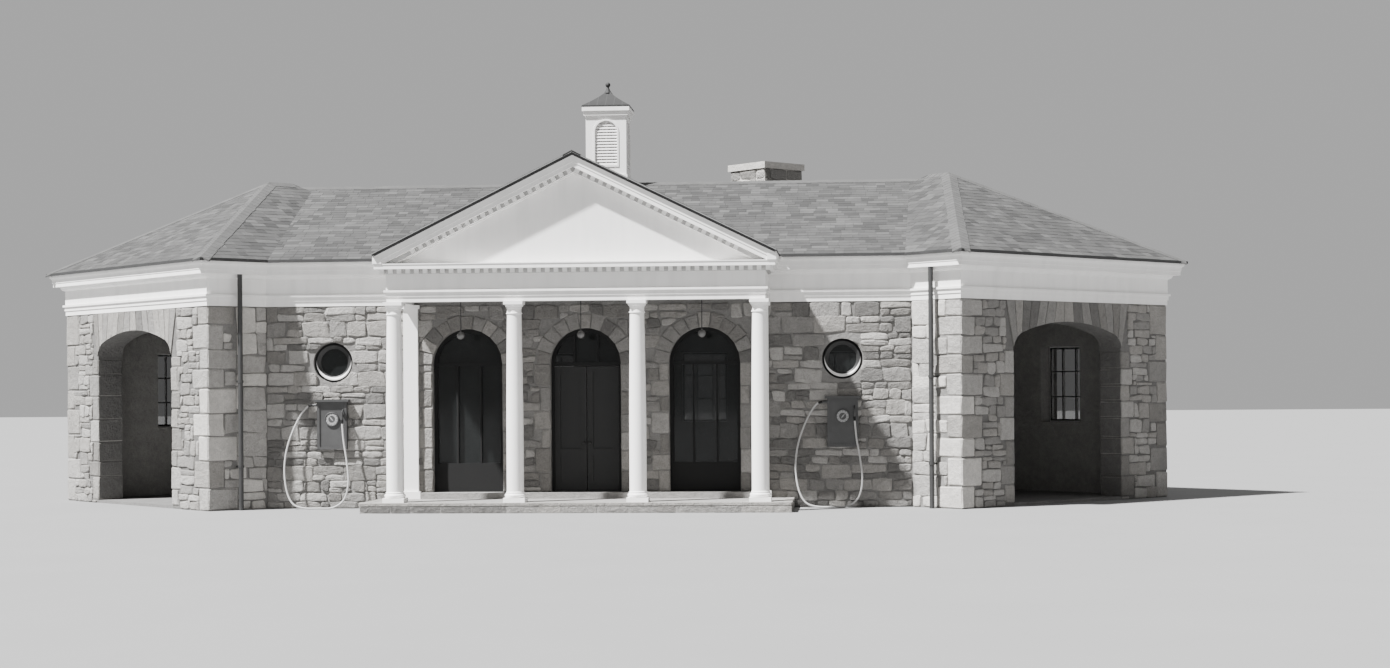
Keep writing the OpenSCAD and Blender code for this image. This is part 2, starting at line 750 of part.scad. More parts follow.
// Wall cabinets of the pumps, each with a hose that hangs from its outlet to its nozzle
cabinet_w = 500;
cabinet_d = 110;
cabinet_z0 = 985;
cabinet_z1 = 1775;
outlet_x = -330;
outlet_y = -90;
outlet_z = 1720;
nozzle_x = 190;
nozzle_y = -190;
nozzle_z = 1480;
module pump_cabinet() {
    h = cabinet_z1 - cabinet_z0;
    difference() {
        translate([-cabinet_w/2, -cabinet_d, cabinet_z0]) cube([cabinet_w, cabinet_d, h]);
        translate([45 - cabinet_w/2, -cabinet_d - 1, cabinet_z0 + 45]) cube([cabinet_w - 90, 16, h - 90]);
    }
    translate([0, 15 - cabinet_d, cabinet_z0 + 500]) rotate([90, 0, 0]) rotate_extrude()
        polygon([[0, -1], [120, -1], [120, 22], [108, 26], [100, 14], [0, 14]]);
    translate([-cabinet_w/2 - 40, -cabinet_d - 40, cabinet_z1]) cube([cabinet_w + 80, cabinet_d + 40, 40]);
    translate([outlet_x + 7, outlet_y, outlet_z]) rotate([0, 90, 0])
        cylinder(d = 44, h = -outlet_x - cabinet_w/2 - 6);
    translate([nozzle_x, nozzle_y, nozzle_z + 3]) {
        cylinder(d = 44, h = 60);
        translate([0, 0, 55]) cylinder(d1 = 40, d2 = 26, h = 60);
        translate([0, 0, 110]) rotate([-60, 0, 0]) cylinder(d = 22, h = 120);
        translate([-14, 0, 70]) cube([28, -nozzle_y - cabinet_d + 20, 16]);
    }
}
module pump_cabinets() {
    color("dimgray") for (side = [-1, 1]) translate([side*oculus_x, 0, 0]) pump_cabinet();
}

// Route of a hose: points chosen by hand, from the outlet to the nozzle
hose_d = 30;
hose_steps = 5;
hose_route = [[-330, -90, 1720], [-420, -100, 1690], [-530, -120, 1540], [-650, -160, 1280],
              [-740, -200, 980], [-770, -240, 640], [-720, -280, 300], [-610, -310, 92],
              [-430, -320, 24], [-180, -320, 19], [60, -310, 30], [240, -290, 160],
              [310, -270, 430], [280, -240, 780], [220, -210, 1140], [190, -190, 1480]];
function at(v, i) = v[max(0, min(len(v) - 1, i))];
function spline(v, i, t) =
    let(a = at(v, i - 1), b = at(v, i), c = at(v, i + 1), d = at(v, i + 2))
    0.5*(2*b + t*(c - a) + t*t*(2*a - 5*b + 4*c - d) + t*t*t*(3*b - a - 3*c + d));
function unit(v) = v/norm(v);
hose_line = concat(
    [for (i = [0:len(hose_route) - 2]) for (k = [0:hose_steps - 1]) spline(hose_route, i, k/hose_steps)],
    [hose_route[len(hose_route) - 1]]);
function heading(i) = unit(at(hose_line, i + 1) - at(hose_line, i - 1));
module hose() {
    sides = 8;
    n = len(hose_line);
    rings = [for (i = [0:n - 1]) let(d = heading(i), u = unit(cross(d, [0, 1, 0])), w = cross(d, u))
             for (k = [0:sides - 1]) hose_line[i] + hose_d/2*(u*cos(k*360/sides) + w*sin(k*360/sides))];
    sides_out = [for (i = [0:n - 2]) for (k = [0:sides - 1])
                 let(a = i*sides + k, b = i*sides + (k + 1) % sides)
                 each [[a, b, b + sides], [a, b + sides, a + sides]]];
    ends = [[for (k = [sides - 1:-1:0]) k], [for (k = [0:sides - 1]) (n - 1)*sides + k]];
    color("gainsboro") polyhedron(points = rings, faces = concat(sides_out, ends), convexity = 10);
}
module left_hose() { translate([-oculus_x, 0, 0]) hose(); }
module right_hose() { translate([oculus_x, 0, 0]) hose(); }

lamp_y = -560;
lamp_z = 2840;
module porch_lamps() {
    color("white") for (x = [-arch_step, 0, arch_step]) translate([x, lamp_y, 0]) {
        translate([0, 0, lamp_z]) sphere(d = 130);
        translate([0, 0, lamp_z]) cylinder(d = 16, h = soffit_z - lamp_z);
        translate([0, 0, soffit_z - 25]) cylinder(d = 90, h = 25);
    }
}

portico_platform();
floor_slab();
front_wall_left();
front_wall_right();
front_wall_over_door();
return_walls();
left_wing_front_wall();
right_wing_front_wall();
left_wing_side_wall();
right_wing_side_wall();
rear_wall();
main_roof();
left_wing_roof();
right_wing_roof();
portico_roof();
main_entablature();
left_wing_entablature();
right_wing_entablature();
portico_entablature();
dentils();
tympanum();
raking_cornice();
portico_ceiling();
column_1();
column_2();
column_3();
column_4();
pilasters();
cupola();
cupola_louvres();
cupola_roof();
chimney();
gutters_and_downspouts();
oculus_frames();
arch_windows();
door_frame();
left_door();
right_door();
sash_windows();
front_glass();
back_glass();
pump_cabinets();
left_hose();
right_hose();
porch_lamps();
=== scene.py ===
import math
import random
from itertools import product

import bpy
from mathutils import Matrix, Vector


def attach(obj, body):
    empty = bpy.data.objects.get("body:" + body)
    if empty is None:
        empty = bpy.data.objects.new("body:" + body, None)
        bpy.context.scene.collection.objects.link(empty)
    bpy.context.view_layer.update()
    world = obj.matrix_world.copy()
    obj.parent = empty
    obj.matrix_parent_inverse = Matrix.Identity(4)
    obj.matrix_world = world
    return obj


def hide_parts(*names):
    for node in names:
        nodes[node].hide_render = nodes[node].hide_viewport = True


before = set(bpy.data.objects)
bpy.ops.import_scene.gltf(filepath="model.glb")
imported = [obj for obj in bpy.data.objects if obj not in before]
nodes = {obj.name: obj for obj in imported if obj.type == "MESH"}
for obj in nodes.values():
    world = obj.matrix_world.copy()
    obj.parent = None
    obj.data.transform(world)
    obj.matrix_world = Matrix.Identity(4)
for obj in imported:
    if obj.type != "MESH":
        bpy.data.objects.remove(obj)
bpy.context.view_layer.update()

rnd = random.Random(5)

# Sizes shared with the CAD model, in metres
TURN = math.radians(45)
CORNER_X, CORNER_Y = 6.12, 0.76
CORNER = Vector((CORNER_X, -CORNER_Y))
E1 = Vector((math.cos(TURN), math.sin(TURN)))
E2 = Vector((-math.sin(TURN), math.cos(TURN)))
WING_FRONT, WING_DEPTH, WALL_T = 5.32, 5.8, 0.45
JUNCTION_X = CORNER_X - CORNER_Y
RETURN = CORNER_Y * math.sqrt(2)
REAR_X, REAR_Y = CORNER + E1 * WING_FRONT + E2 * WING_DEPTH
ENTAB_Z = 3.365
# Height of the dentil band and back face of the raking dentils, where painted shade goes
DENTIL_MID_Z, DENTIL_HALF_H, DENTIL_BACK_Y = 3.8485, 0.036, -1.39
EAVE, EAVE_Z = 0.25, 4.13
MAIN_PITCH, WING_PITCH = 0.41, 0.553
PORTICO_EAVE_X, PORTICO_RIDGE_Z, PORTICO_FRONT_Y = 3.22, 5.715, -1.562
PLATFORM_X, PLATFORM_D = 3.43, 1.57
RIDGE_Y = REAR_Y / 2
ARCH_W, ARCH_STEP, ARCH_SPRING, FLOOR_Z = 1.174, 1.97, 2.38, 0.26
OCULUS_X, OCULUS_Z, OCULUS_R = 4.23, 2.427, 0.33
BAY_S, BAY_HALF, BAY_CROWN, BAY_RISE, BAY_HAUNCH = WING_FRONT / 2, 1.4, 3.03, 0.48, 0.30
BAY_SPRING = BAY_CROWN - BAY_RISE
WIN_W, WIN_Z0, WIN_Z1, SIDE_WIN_T = 0.9, 1.31, 2.68, 2.0
REAR_WIN_X = (-4.2, -1.5, 1.5, 4.2)
CHIMNEY, CHIMNEY_HALF, CHIMNEY_Z = (2.8, 5.18, 0), 0.47, (4.75, 6.04)
GLOBE_TOP_Z = 2.915
DIAL_Z, DIAL_Y = 1.485, -0.109

# The camera's place, turn and roll, its lens, and how far the photo's horizon lies off its middle
CAMERA, CAMERA_TURN, CAMERA_ROLL = (4.395, -34.914, 1.887), 4.234, -0.396
LENS, SENSOR, HORIZON, PHOTO_WIDTH = 55.16, 36.0, 58.57, 1390


# ---- camera
def new_object(name, data):
    obj = bpy.data.objects.new(name, data)
    bpy.context.collection.objects.link(obj)
    return obj


def make_camera():
    cam = bpy.data.cameras.new("camera")
    cam.lens, cam.sensor_width = LENS, SENSOR
    cam.shift_y = HORIZON / PHOTO_WIDTH
    cam.clip_end = 500
    obj = new_object("camera", cam)
    obj.matrix_world = (
        Matrix.Translation(CAMERA)
        @ Matrix.Rotation(math.radians(CAMERA_TURN), 4, "Z")
        @ Matrix.Rotation(math.pi / 2, 4, "X")
        @ Matrix.Rotation(math.radians(CAMERA_ROLL), 4, "Z")
    )
    bpy.context.scene.camera = obj


make_camera()


# ---- materials
class Nodes:
    """Small helper that builds a node material round one Principled shader."""

    def __init__(self, name, color, rough=0.7, metallic=0.0, alpha=1.0):
        self.mat = bpy.data.materials.new(name)
        self.mat.use_nodes = True
        self.t = self.mat.node_tree
        self.bsdf = self.t.nodes["Principled BSDF"]
        self.set("Base Color", (*color, 1.0))
        self.set("Roughness", rough)
        self.set("Metallic", metallic)
        self.set("Alpha", alpha)
        self.mat.diffuse_color = (*color, alpha)

    def set(self, socket, value):
        self.bsdf.inputs[socket].default_value = value

    def node(self, kind, inputs=None, **props):
        n = self.t.nodes.new("ShaderNode" + kind)
        for k, v in props.items():
            setattr(n, k, v)
        for k, v in (inputs or {}).items():
            self.feed(n.inputs[k], v)
        return n

    def feed(self, socket, value):
        if isinstance(value, bpy.types.NodeSocket):
            self.t.links.new(value, socket)
        else:
            socket.default_value = value

    def math(self, op, a, b=0.0, c=None):
        n = self.node("Math", operation=op)
        self.feed(n.inputs[0], a)
        self.feed(n.inputs[1], b)
        if c is not None:
            self.feed(n.inputs[2], c)
        return n.outputs[0]

    def add(self, a, b):
        return self.math("ADD", a, b)

    def sub(self, a, b):
        return self.math("SUBTRACT", a, b)

    def mul(self, a, b):
        return self.math("MULTIPLY", a, b)

    def position(self):
        return self.node("NewGeometry").outputs["Position"]

    def place(self):
        """The X, Y and Z of the point."""
        return self.node("SeparateXYZ", {"Vector": self.position()}).outputs

    def noise(self, scale, detail=4, rough=0.55, stretch=None):
        v = self.position()
        if stretch:
            v = self.node("Mapping", {"Vector": v, "Scale": stretch}).outputs[0]
        inputs = {"Vector": v, "Scale": scale, "Detail": detail, "Roughness": rough}
        return self.node("TexNoise", inputs).outputs["Fac"]

    def ramp(self, fac, start, end):
        """A grey ramp between two stops, each a position and a value."""
        n = self.node("ValToRGB", {"Fac": fac})
        for stop, (position, v) in zip(n.color_ramp.elements, (start, end)):
            stop.position, stop.color = position, (v, v, v, 1.0)
        return n.outputs["Color"]

    def mix(self, fac, a, b, blend="MIX"):
        n = self.node("Mix", data_type="RGBA", blend_type=blend)
        for i, v in ((0, fac), (6, a), (7, b)):
            self.feed(n.inputs[i], (*v, 1.0) if isinstance(v, tuple) else v)
        return n.outputs[2]

    def bump(self, height, distance, strength=1.0, normal=None):
        n = self.node("Bump", {"Height": height, "Distance": distance, "Strength": strength})
        if normal:
            self.feed(n.inputs["Normal"], normal)
        return n.outputs[0]

    def color(self, out):
        self.feed(self.bsdf.inputs["Base Color"], out)

    def normal(self, out):
        self.feed(self.bsdf.inputs["Normal"], out)

    def rough(self, fac, spread, least):
        self.feed(self.bsdf.inputs["Roughness"], self.math("MULTIPLY_ADD", fac, spread, least))


def grey(v, warm=0.0):
    return (v * (1 + warm), v, v * (1 - warm * 1.4))


def tint(c, k):
    return tuple(min(1.0, x * k) for x in c)


def house_inside(m):
    """1 on the inner faces of the side walls and the rear wall, 0 on their outer faces."""
    x, y, _ = m.place()
    dx, dy = m.sub(m.math("ABSOLUTE", x), CORNER.x), m.sub(y, CORNER.y)
    along = m.add(m.mul(dx, E1.x), m.mul(dy, E1.y))
    behind_side = m.math("LESS_THAN", along, WING_FRONT - WALL_T / 2)
    behind_rear = m.math("LESS_THAN", y, REAR_Y - WALL_T / 2)
    return m.mul(behind_side, behind_rear)


def stone(name, color, rough=0.88, bump=0.012, outer=1.0):
    """Stone with patches and a rough grain; outer is the share of color that outer faces keep."""
    m = Nodes(name, color, rough)
    patch = m.noise(3.1, 5, 0.6)
    lumps = m.noise(11, 6, 0.7)
    fine = m.noise(46, 6, 0.65)
    c = m.mix(patch, tint(color, 0.7), tint(color, 1.3))
    c = m.mix(m.mul(m.ramp(lumps, (0.36, 1), (0.55, 0)), 0.35), c, tint(color, 0.5))
    c = m.mix(m.mul(m.ramp(fine, (0.35, 1), (0.62, 0)), 0.5), c, tint(color, 0.55))
    if outer < 1:
        c = m.mix(house_inside(m), m.mix(1.0, c, (outer,) * 3, "MULTIPLY"), c)
    m.color(c)
    n = m.bump(lumps, bump * 3.2)
    m.normal(m.bump(fine, bump * 0.8, normal=n))
    m.rough(fine, 0.2, rough - 0.1)
    return m.mat


def near(m, axis, value, reach):
    """1 where a point's place along the axis is within reach of the value, else 0."""
    return m.math("COMPARE", m.place()[axis], value, reach)


def paint(name, color, rough=0.45, dirt=0.12, grain=(1, 1, 1), gloss=0.5, painted_shade_strip=None):
    """Brushed paint with streaks; the last argument gives the axis, middle and half width of a
    strip painted dark as shade.
    """
    m = Nodes(name, color, rough)
    m.set("Specular IOR Level", gloss)
    wide = m.noise(1.4, 5, 0.6)
    fine = m.noise(26, 5, 0.6, stretch=grain)
    streak = m.noise(5, 4, 0.6, stretch=(1, 1, 0.12))
    c = m.mix(m.mul(wide, dirt * 1.6), color, tint(color, 0.72))
    c = m.mix(m.mul(m.ramp(streak, (0.45, 0), (0.75, 1)), dirt), c, tint(color, 0.6))
    # Painted shade: a darker strip on the backing between the dentils, where their shade falls
    if painted_shade_strip:
        c = m.mix(near(m, *painted_shade_strip), c, tint(color, 0.42))
    m.color(c)
    m.normal(m.bump(fine, 0.0015, 0.6))
    m.rough(fine, 0.25, rough - 0.1)
    return m.mat


def metal(name, color, rough=0.5, metallic=0.4):
    m = Nodes(name, color, rough, metallic)
    wide = m.noise(3, 6, 0.65)
    streak = m.noise(9, 4, 0.6, stretch=(1, 1, 0.15))
    m.color(m.mix(wide, tint(color, 0.65), tint(color, 1.5)))
    m.rough(streak, 0.35, rough - 0.15)
    m.normal(m.bump(streak, 0.002, 0.5))
    return m.mat


def shingle(name, color):
    """Mineral roofing with fine grains and blotches that lie along the courses."""
    m = Nodes(name, color, 0.9)
    wide = m.noise(0.9, 5, 0.6)
    grain = m.noise(60, 4, 0.7)
    patch = m.noise(2.6, 6, 0.75, stretch=(1, 1, 3.5))
    c = m.mix(wide, tint(color, 0.75), tint(color, 1.25))
    c = m.mix(m.mul(m.ramp(patch, (0.4, 1), (0.6, 0)), 0.55), c, tint(color, 0.45))
    m.color(m.mix(m.mul(grain, 0.35), c, tint(color, 1.5)))
    m.normal(m.bump(grain, 0.004, 0.8))
    return m.mat


def seamed(name, color, rough, half_step=0.075, seam_w=0.011):
    """Sheet metal with standing seams that run down the slopes of a four-sided roof."""
    m = Nodes(name, color, rough, 0.1)
    wide = m.noise(5, 5, 0.6)
    x, y, _ = m.place()
    normal = m.node("NewGeometry").outputs["True Normal"]
    nx, ny, _ = m.node("SeparateXYZ", {"Vector": normal}).outputs
    sideways = m.math("GREATER_THAN", m.math("ABSOLUTE", nx), m.math("ABSOLUTE", ny))
    u = m.math("MULTIPLY_ADD", m.sub(y, x), sideways, x)
    seam = m.math("LESS_THAN", m.math("PINGPONG", u, half_step), seam_w)
    c = m.mix(wide, tint(color, 0.7), tint(color, 1.4))
    m.color(m.mix(m.mul(seam, 0.6), c, tint(color, 2.0)))
    m.normal(m.bump(seam, 0.012, 0.6))
    return m.mat


def oculus_painted_light(name, painted_highlight, dark, rise=0.045, upper=0.296, rim=0.297):
    """Dark paint with a light crescent between the rim and a circle set higher by the rise; the
    crescent is a painted highlight where the frame's lower inner slope would take the sun, and the
    dark round it is partly the frame's dark paint and partly painted shade.
    """
    m = Nodes(name, dark, 0.5)
    x, _, z = m.place()
    dx, dz = m.sub(m.math("ABSOLUTE", x), OCULUS_X), m.sub(z, OCULUS_Z)
    radius = [m.math("SQRT", m.add(m.mul(dx, dx), m.mul(d, d))) for d in (dz, m.sub(dz, rise))]
    uneven = m.math("MULTIPLY_ADD", m.noise(20), 0.006, radius[1])
    # Painted highlight: the crescent low in the frame
    highlight_below_upper = m.math("GREATER_THAN", uneven, upper)
    within_rim = m.math("LESS_THAN", radius[0], rim)
    m.color(m.mix(m.mul(highlight_below_upper, within_rim), dark, painted_highlight))
    return m.mat


def lamp(name, globe, rod, z):
    """Glossy glass below the height z, dark metal above it."""
    m = Nodes(name, globe, 0.08)
    m.set("Specular IOR Level", 0.9)
    c = m.mix(m.noise(9, 3), globe, tint(globe, 0.88))
    m.color(m.mix(m.math("GREATER_THAN", m.place()["Z"], z), c, rod))
    return m.mat


def glass(name):
    m = Nodes(name, (0.03, 0.035, 0.035), 0.06, alpha=0.6)
    waves = m.noise(3.5, 2, 0.4)
    m.normal(m.bump(waves, 0.003, 0.25))
    m.color(m.mix(waves, (0.008, 0.009, 0.009), (0.02, 0.022, 0.022)))
    m.set("Specular IOR Level", 0.3)
    return m.mat


STONE_TONES = (0.14, 0.19, 0.235, 0.285, 0.36)
SHINGLE_TONES = (0.030, 0.043, 0.052, 0.068)
TRIM = (grey(0.88, 0.012), 0.5, 0.26)
M = {
    "mortar": stone("mortar", grey(0.20, 0.03), 0.92, 0.008),
    "dark_mortar": stone("dark_mortar", grey(0.14, 0.03), 0.92, 0.008),
    "inner_wall": stone("inner_stone", grey(0.36, 0.03), 0.92, 0.008, outer=0.556),
    # Reveal stone, darker than the wall's stones, is painted shade for the faces inside openings
    "reveal_painted_shade": stone("reveal_stone_painted_shade", grey(0.15, 0.03), 0.9, 0.012),
    "cut": stone("cut_stone", grey(0.5, 0.04), 0.85, 0.008),
    "coping": stone("platform_stone", grey(0.27, 0.03), 0.85, 0.006),
    "floor": stone("floor_concrete", grey(0.16, 0.02), 0.8, 0.003),
    "slab": shingle("roof_bed", grey(0.045)),
    "cap": shingle("ridge_cap", grey(0.068, 0.01)),
    "white": paint("trim_paint", *TRIM),
    # Entablature and raking cornice paint with a strip of painted shade behind the dentils
    "bed_painted_shade": paint("entablature_paint", *TRIM, painted_shade_strip=("Z", DENTIL_MID_Z, DENTIL_HALF_H)),
    "rake_painted_shade": paint("rake_paint", *TRIM, painted_shade_strip=("Y", DENTIL_BACK_Y, 0.0008)),
    "column": paint("column_paint", grey(0.90, 0.012), 0.42, 0.08, (1, 1, 0.1)),
    "louvre": paint("louvre_paint", grey(0.90, 0.01), 0.5, 0.06),
    "ceiling": paint("ceiling_paint", grey(0.34, 0.01), 0.6, 0.1),
    "roof_metal": seamed("cupola_metal", grey(0.016), 0.75),
    "gutter": metal("gutter_metal", grey(0.045), 0.45, 0.4),
    "rake_metal": metal("rake_metal", grey(0.2), 0.55, 0.3),
    "dark": paint("dark_paint", grey(0.01), 0.6, 0.1, gloss=0.2),
    "door": paint("door_paint", grey(0.022), 0.55, 0.1, gloss=0.25),
    # Round window frames: dark paint, partly painted shade, with a painted highlight crescent at
    # the foot
    "oculus": oculus_painted_light("oculus_painted_light", grey(0.85, 0.012), grey(0.02)),
    "cabinet": metal("cabinet_metal", grey(0.055), 0.42, 0.3),
    "dial": paint("dial_paint", grey(0.27), 0.4, 0.1),
    "hose": paint("hose_rubber", grey(0.42, 0.01), 0.6, 0.12),
    "lamp": lamp("lamp_glass", grey(0.1, 0.015), grey(0.03), GLOBE_TOP_Z),
    "glass": glass("window_glass"),
}
for i, v in enumerate(STONE_TONES):
    M["stone%d" % i] = stone("rubble_stone_%d" % i, grey(v, 0.035 + 0.01 * (i % 2)), 0.9, 0.014)
for i, v in enumerate(SHINGLE_TONES):
    M["shingle%d" % i] = shingle("shingle_%d" % i, grey(v, 0.01))

# The looks of the CAD nodes; other walls are mortar, and all else is white
NODE_LOOKS = {
    "coping": "portico_platform",
    "floor": "floor_slab",
    "slab": "main_roof left_wing_roof right_wing_roof portico_roof",
    "ceiling": "portico_ceiling",
    "louvre": "cupola_louvres",
    "oculus": "oculus_frames",
    "dark_mortar": "left_wing_front_wall right_wing_front_wall",
    "inner_wall": "left_wing_side_wall right_wing_side_wall rear_wall",
    "roof_metal": "cupola_roof",
    "cut": "chimney",
    "bed_painted_shade": "portico_entablature",
    "rake_painted_shade": "raking_cornice",
    "gutter": "gutters_and_downspouts",
    "dark": "arch_windows door_frame",
    "door": "left_door right_door",
    "glass": "front_glass back_glass",
    "cabinet": "pump_cabinets",
    "lamp": "porch_lamps",
    "column": "pilasters column_1 column_2 column_3 column_4",
}
look_of = {name: look for look, names in NODE_LOOKS.items() for name in names.split()}
for name, obj in nodes.items():
    look = M[look_of.get(name, "mortar" if "wall" in name else "white")]
    if not obj.data.materials:
        obj.data.materials.append(look)
    for i in range(len(obj.data.materials)):
        obj.data.materials[i] = look


# ---- mesh helpers
def up(z):
    return Vector((0, 0, z))


def circle(r, n):
    return [(r * math.cos(k * math.tau / n), r * math.sin(k * math.tau / n)) for k in range(n)]


def edges(poly):
    """Each point of a polygon with the next one round it."""
    return zip(poly, poly[1:] + poly[:1])


def ring_faces(rings, n):
    """Faces between neighbouring rings of n points each."""
    return [(i * n + k, i * n + (k + 1) % n, (i + 1) * n + (k + 1) % n, (i + 1) * n + k)
            for i in range(rings - 1) for k in range(n)]


def tube_faces(rings, n):
    """Faces of a tube that is closed at both ends."""
    return ring_faces(rings, n) + [tuple(range(n))[::-1], tuple(range((rings - 1) * n, rings * n))]


def prism_sides(n):
    """Side faces of a prism with n points at the top and then n at the foot."""
    return [((i + 1) % n, i, n + i, n + (i + 1) % n) for i in range(n)]


class Build:
    """Collects faces with a material each and makes one object of them."""

    def __init__(self, name, looks, slot):
        self.name, self.looks, self.slot = name, looks, slot
        self.v, self.f, self.m, self.smooth = [], [], [], []

    def add(self, verts, faces, look=0, smooth=False):
        """Adds faces; look is one index or a list with an index for each face."""
        base = len(self.v)
        self.v += [tuple(p) for p in verts]
        self.f += [[base + i for i in f] for f in faces]
        self.m += look if isinstance(look, list) else [look] * len(faces)
        self.smooth += [smooth] * len(faces)

    def done(self):
        me = bpy.data.meshes.new(self.name)
        me.from_pydata(self.v, [], self.f)
        for look in self.looks:
            me.materials.append(M[look])
        me.polygons.foreach_set("material_index", self.m)
        me.polygons.foreach_set("use_smooth", self.smooth)
        me.update()
        obj = new_object(self.name, me)
        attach(obj, "house")
        return obj


class Face:
    """A wall face with u to the right, seen from outside, and its normal outwards."""

    def __init__(self, origin, along):
        self.o = Vector(origin)
        self.u = Vector((*along, 0)).normalized()
        self.n = Vector((self.u.y, -self.u.x, 0))

    def at(self, u, z, out=0.0):
        return self.o + self.u * u + up(z) + self.n * out


# ---- polygons
def between(a, b, t):
    return (a[0] + (b[0] - a[0]) * t, a[1] + (b[1] - a[1]) * t)


def clip(poly, p, n):
    """Part of a convex polygon on the side of the line through p that n points to."""
    out = []
    for a, b in edges(poly):
        da = (a[0] - p[0]) * n[0] + (a[1] - p[1]) * n[1]
        db = (b[0] - p[0]) * n[0] + (b[1] - p[1]) * n[1]
        if da >= 0:
            out.append(a)
        if da * db < 0:
            out.append(between(a, b, da / (da - db)))
    return out


def area(poly):
    return 0.5 * sum(a[0] * b[1] - b[0] * a[1] for a, b in edges(poly))


def centroid(poly):
    return (sum(p[0] for p in poly) / len(poly), sum(p[1] for p in poly) / len(poly))


def box_plan(x0, y0, x1, y1):
    return [(x0, y0), (x1, y0), (x1, y1), (x0, y1)]


def drop_small(poly, least=0.012):
    """Removes points that lie closer together than least."""
    out = []
    for p in poly:
        if not out or math.dist(p, out[-1]) > least:
            out.append(p)
    while len(out) > 2 and math.dist(out[0], out[-1]) <= least:
        out.pop()
    return out


def inset(poly, d):
    """Moves each edge of a convex counterclockwise polygon inwards by d."""
    out = poly
    for a, b in edges(poly):
        length = math.dist(a, b)
        if length < 1e-6:
            continue
        n = ((a[1] - b[1]) / length, (b[0] - a[0]) / length)
        out = clip(out, (a[0] + n[0] * d, a[1] + n[1] * d), n)
        if len(out) < 3:
            return []
    return out


def round_corners(poly, r):
    """Two points for each corner, set back from it by about r."""
    out = []
    for a, b, c in zip(poly[-1:] + poly[:-1], poly, poly[1:] + poly[:1]):
        k = r * rnd.uniform(0.5, 1.3)
        out += [between(b, q, min(0.4, k / math.dist(q, b))) for q in (a, c)]
    return out


def pushed_out(poly, cu, cz, r, upper):
    """Moves what lies inside a circle, or inside its upper half, out to the circle."""
    middle = (cu, cz)
    far = min(math.dist(p, middle) for p in poly) > r + 0.6
    if far or upper and min(p[1] for p in poly) > cz + r:
        return poly
    c = centroid(poly)
    if math.dist(c, middle) < r + 0.015 and (not upper or c[1] > cz - 0.02):
        return []
    dense = []
    for a, b in edges(poly):
        n = max(1, int(math.dist(a, b) / 0.035))
        dense += [(a[0] + (b[0] - a[0]) * k / n, a[1] + (b[1] - a[1]) * k / n) for k in range(n)]
    out, moved = [], False
    for p in dense:
        d = math.dist(p, middle)
        if d < r and (not upper or p[1] > cz):
            p, moved = (cu + (p[0] - cu) * r / d, cz + (p[1] - cz) * r / d), True
        out.append(p)
    return out if moved else poly


def outside_rect(u0, z0, u1, z1):
    """Keeps a polygon clear of a rectangle by cutting it along the side that costs least."""

    def cut(poly):
        if (max(p[0] for p in poly) <= u0 or min(p[0] for p in poly) >= u1
                or max(p[1] for p in poly) <= z0 or min(p[1] for p in poly) >= z1):
            return poly
        options = [clip(poly, (u0, 0), (-1, 0)), clip(poly, (u1, 0), (1, 0)),
                   clip(poly, (0, z0), (0, -1)), clip(poly, (0, z1), (0, 1))]
        return max(options, key=area)

    return cut


# ---- stones
JOINT = 0.013           # between rubble stones
GAP = 0.006             # half the joint between squared stones
ROW_HEIGHTS = (0.12, 0.15, 0.18, 0.21, 0.25)
STONE_LOOKS = ["stone%d" % i for i in range(len(STONE_TONES))] + ["cut", "reveal_painted_shade"]
CUT, SHADED_REVEAL = STONE_LOOKS.index("cut"), STONE_LOOKS.index("reveal_painted_shade")


def put_stone(build, face, poly, look, relief, ragged=0.006, corner=0.02):
    """One stone that stands out from a wall face, with rounded corners and an uneven front."""
    poly = drop_small(poly)
    if len(poly) < 3 or area(poly) < 0.0025:
        return
    outline = drop_small(round_corners(poly, corner), 0.004)
    c = centroid(outline)
    n = len(outline)
    h = relief * rnd.uniform(0.55, 1.0)
    tilt = rnd.uniform(-0.3, 0.3) * relief, rnd.uniform(-0.3, 0.3) * relief
    span = [max(0.05, *(abs(p[i] - c[i]) for p in outline)) for i in (0, 1)]

    def lift(p, k, out):
        q = between(c, p, k)
        slope = tilt[0] * (q[0] - c[0]) / span[0] + tilt[1] * (q[1] - c[1]) / span[1]
        return face.at(*q, out + (slope + rnd.uniform(-1, 1) * ragged * 0.5))

    worn = 1 - min(0.25, 0.012 / min(span))
    verts = [face.at(*p, -0.004) for p in outline]
    for k, out in ((1.0, h * 0.45), (worn, h * 0.9), (0.5, h)):
        verts += [lift(p, k, out) for p in outline]
    top = [(3 * n + i, 3 * n + (i + 1) % n, 4 * n) for i in range(n)]
    build.add(verts + [lift(c, 0, h)], ring_faces(4, n) + top, look)


def split_cell(u, z, w, h, size):
    """One cell of a course, some of them split into two thin stones or into three."""
    if h <= 0.17 * size or rnd.random() >= 0.36:
        return [(u, z, u + w, z + h)]
    k = rnd.uniform(0.38, 0.62)
    cells = [(u, z, u + w, z + h * k), (u, z + h * k, u + w, z + h)]
    if w > 0.36 and rnd.random() < 0.6:
        i = rnd.randrange(2)
        u0, z0, u1, z1 = cells[i]
        m = u0 + w * rnd.uniform(0.35, 0.65)
        cells[i:i + 1] = [(u0, z0, m, z1), (m, z0, u1, z1)]
    return cells


def rough_outline(u0, z0, u1, z1):
    """Six points near the outline of a cell."""
    k = min(0.03, 0.17 * (z1 - z0))
    j = [rnd.uniform(-k, k) for _ in range(12)]
    mid = (u0 + u1) / 2 + j[10]
    return [(u0 + j[0], z0 + j[1]), (mid, min(z0 + j[8], z0)), (u1 + j[2], z0 + j[3]),
            (u1 + j[4], z1 + j[5]), (mid + j[11], max(z1 + j[9], z1)), (u0 + j[6], z1 + j[7])]


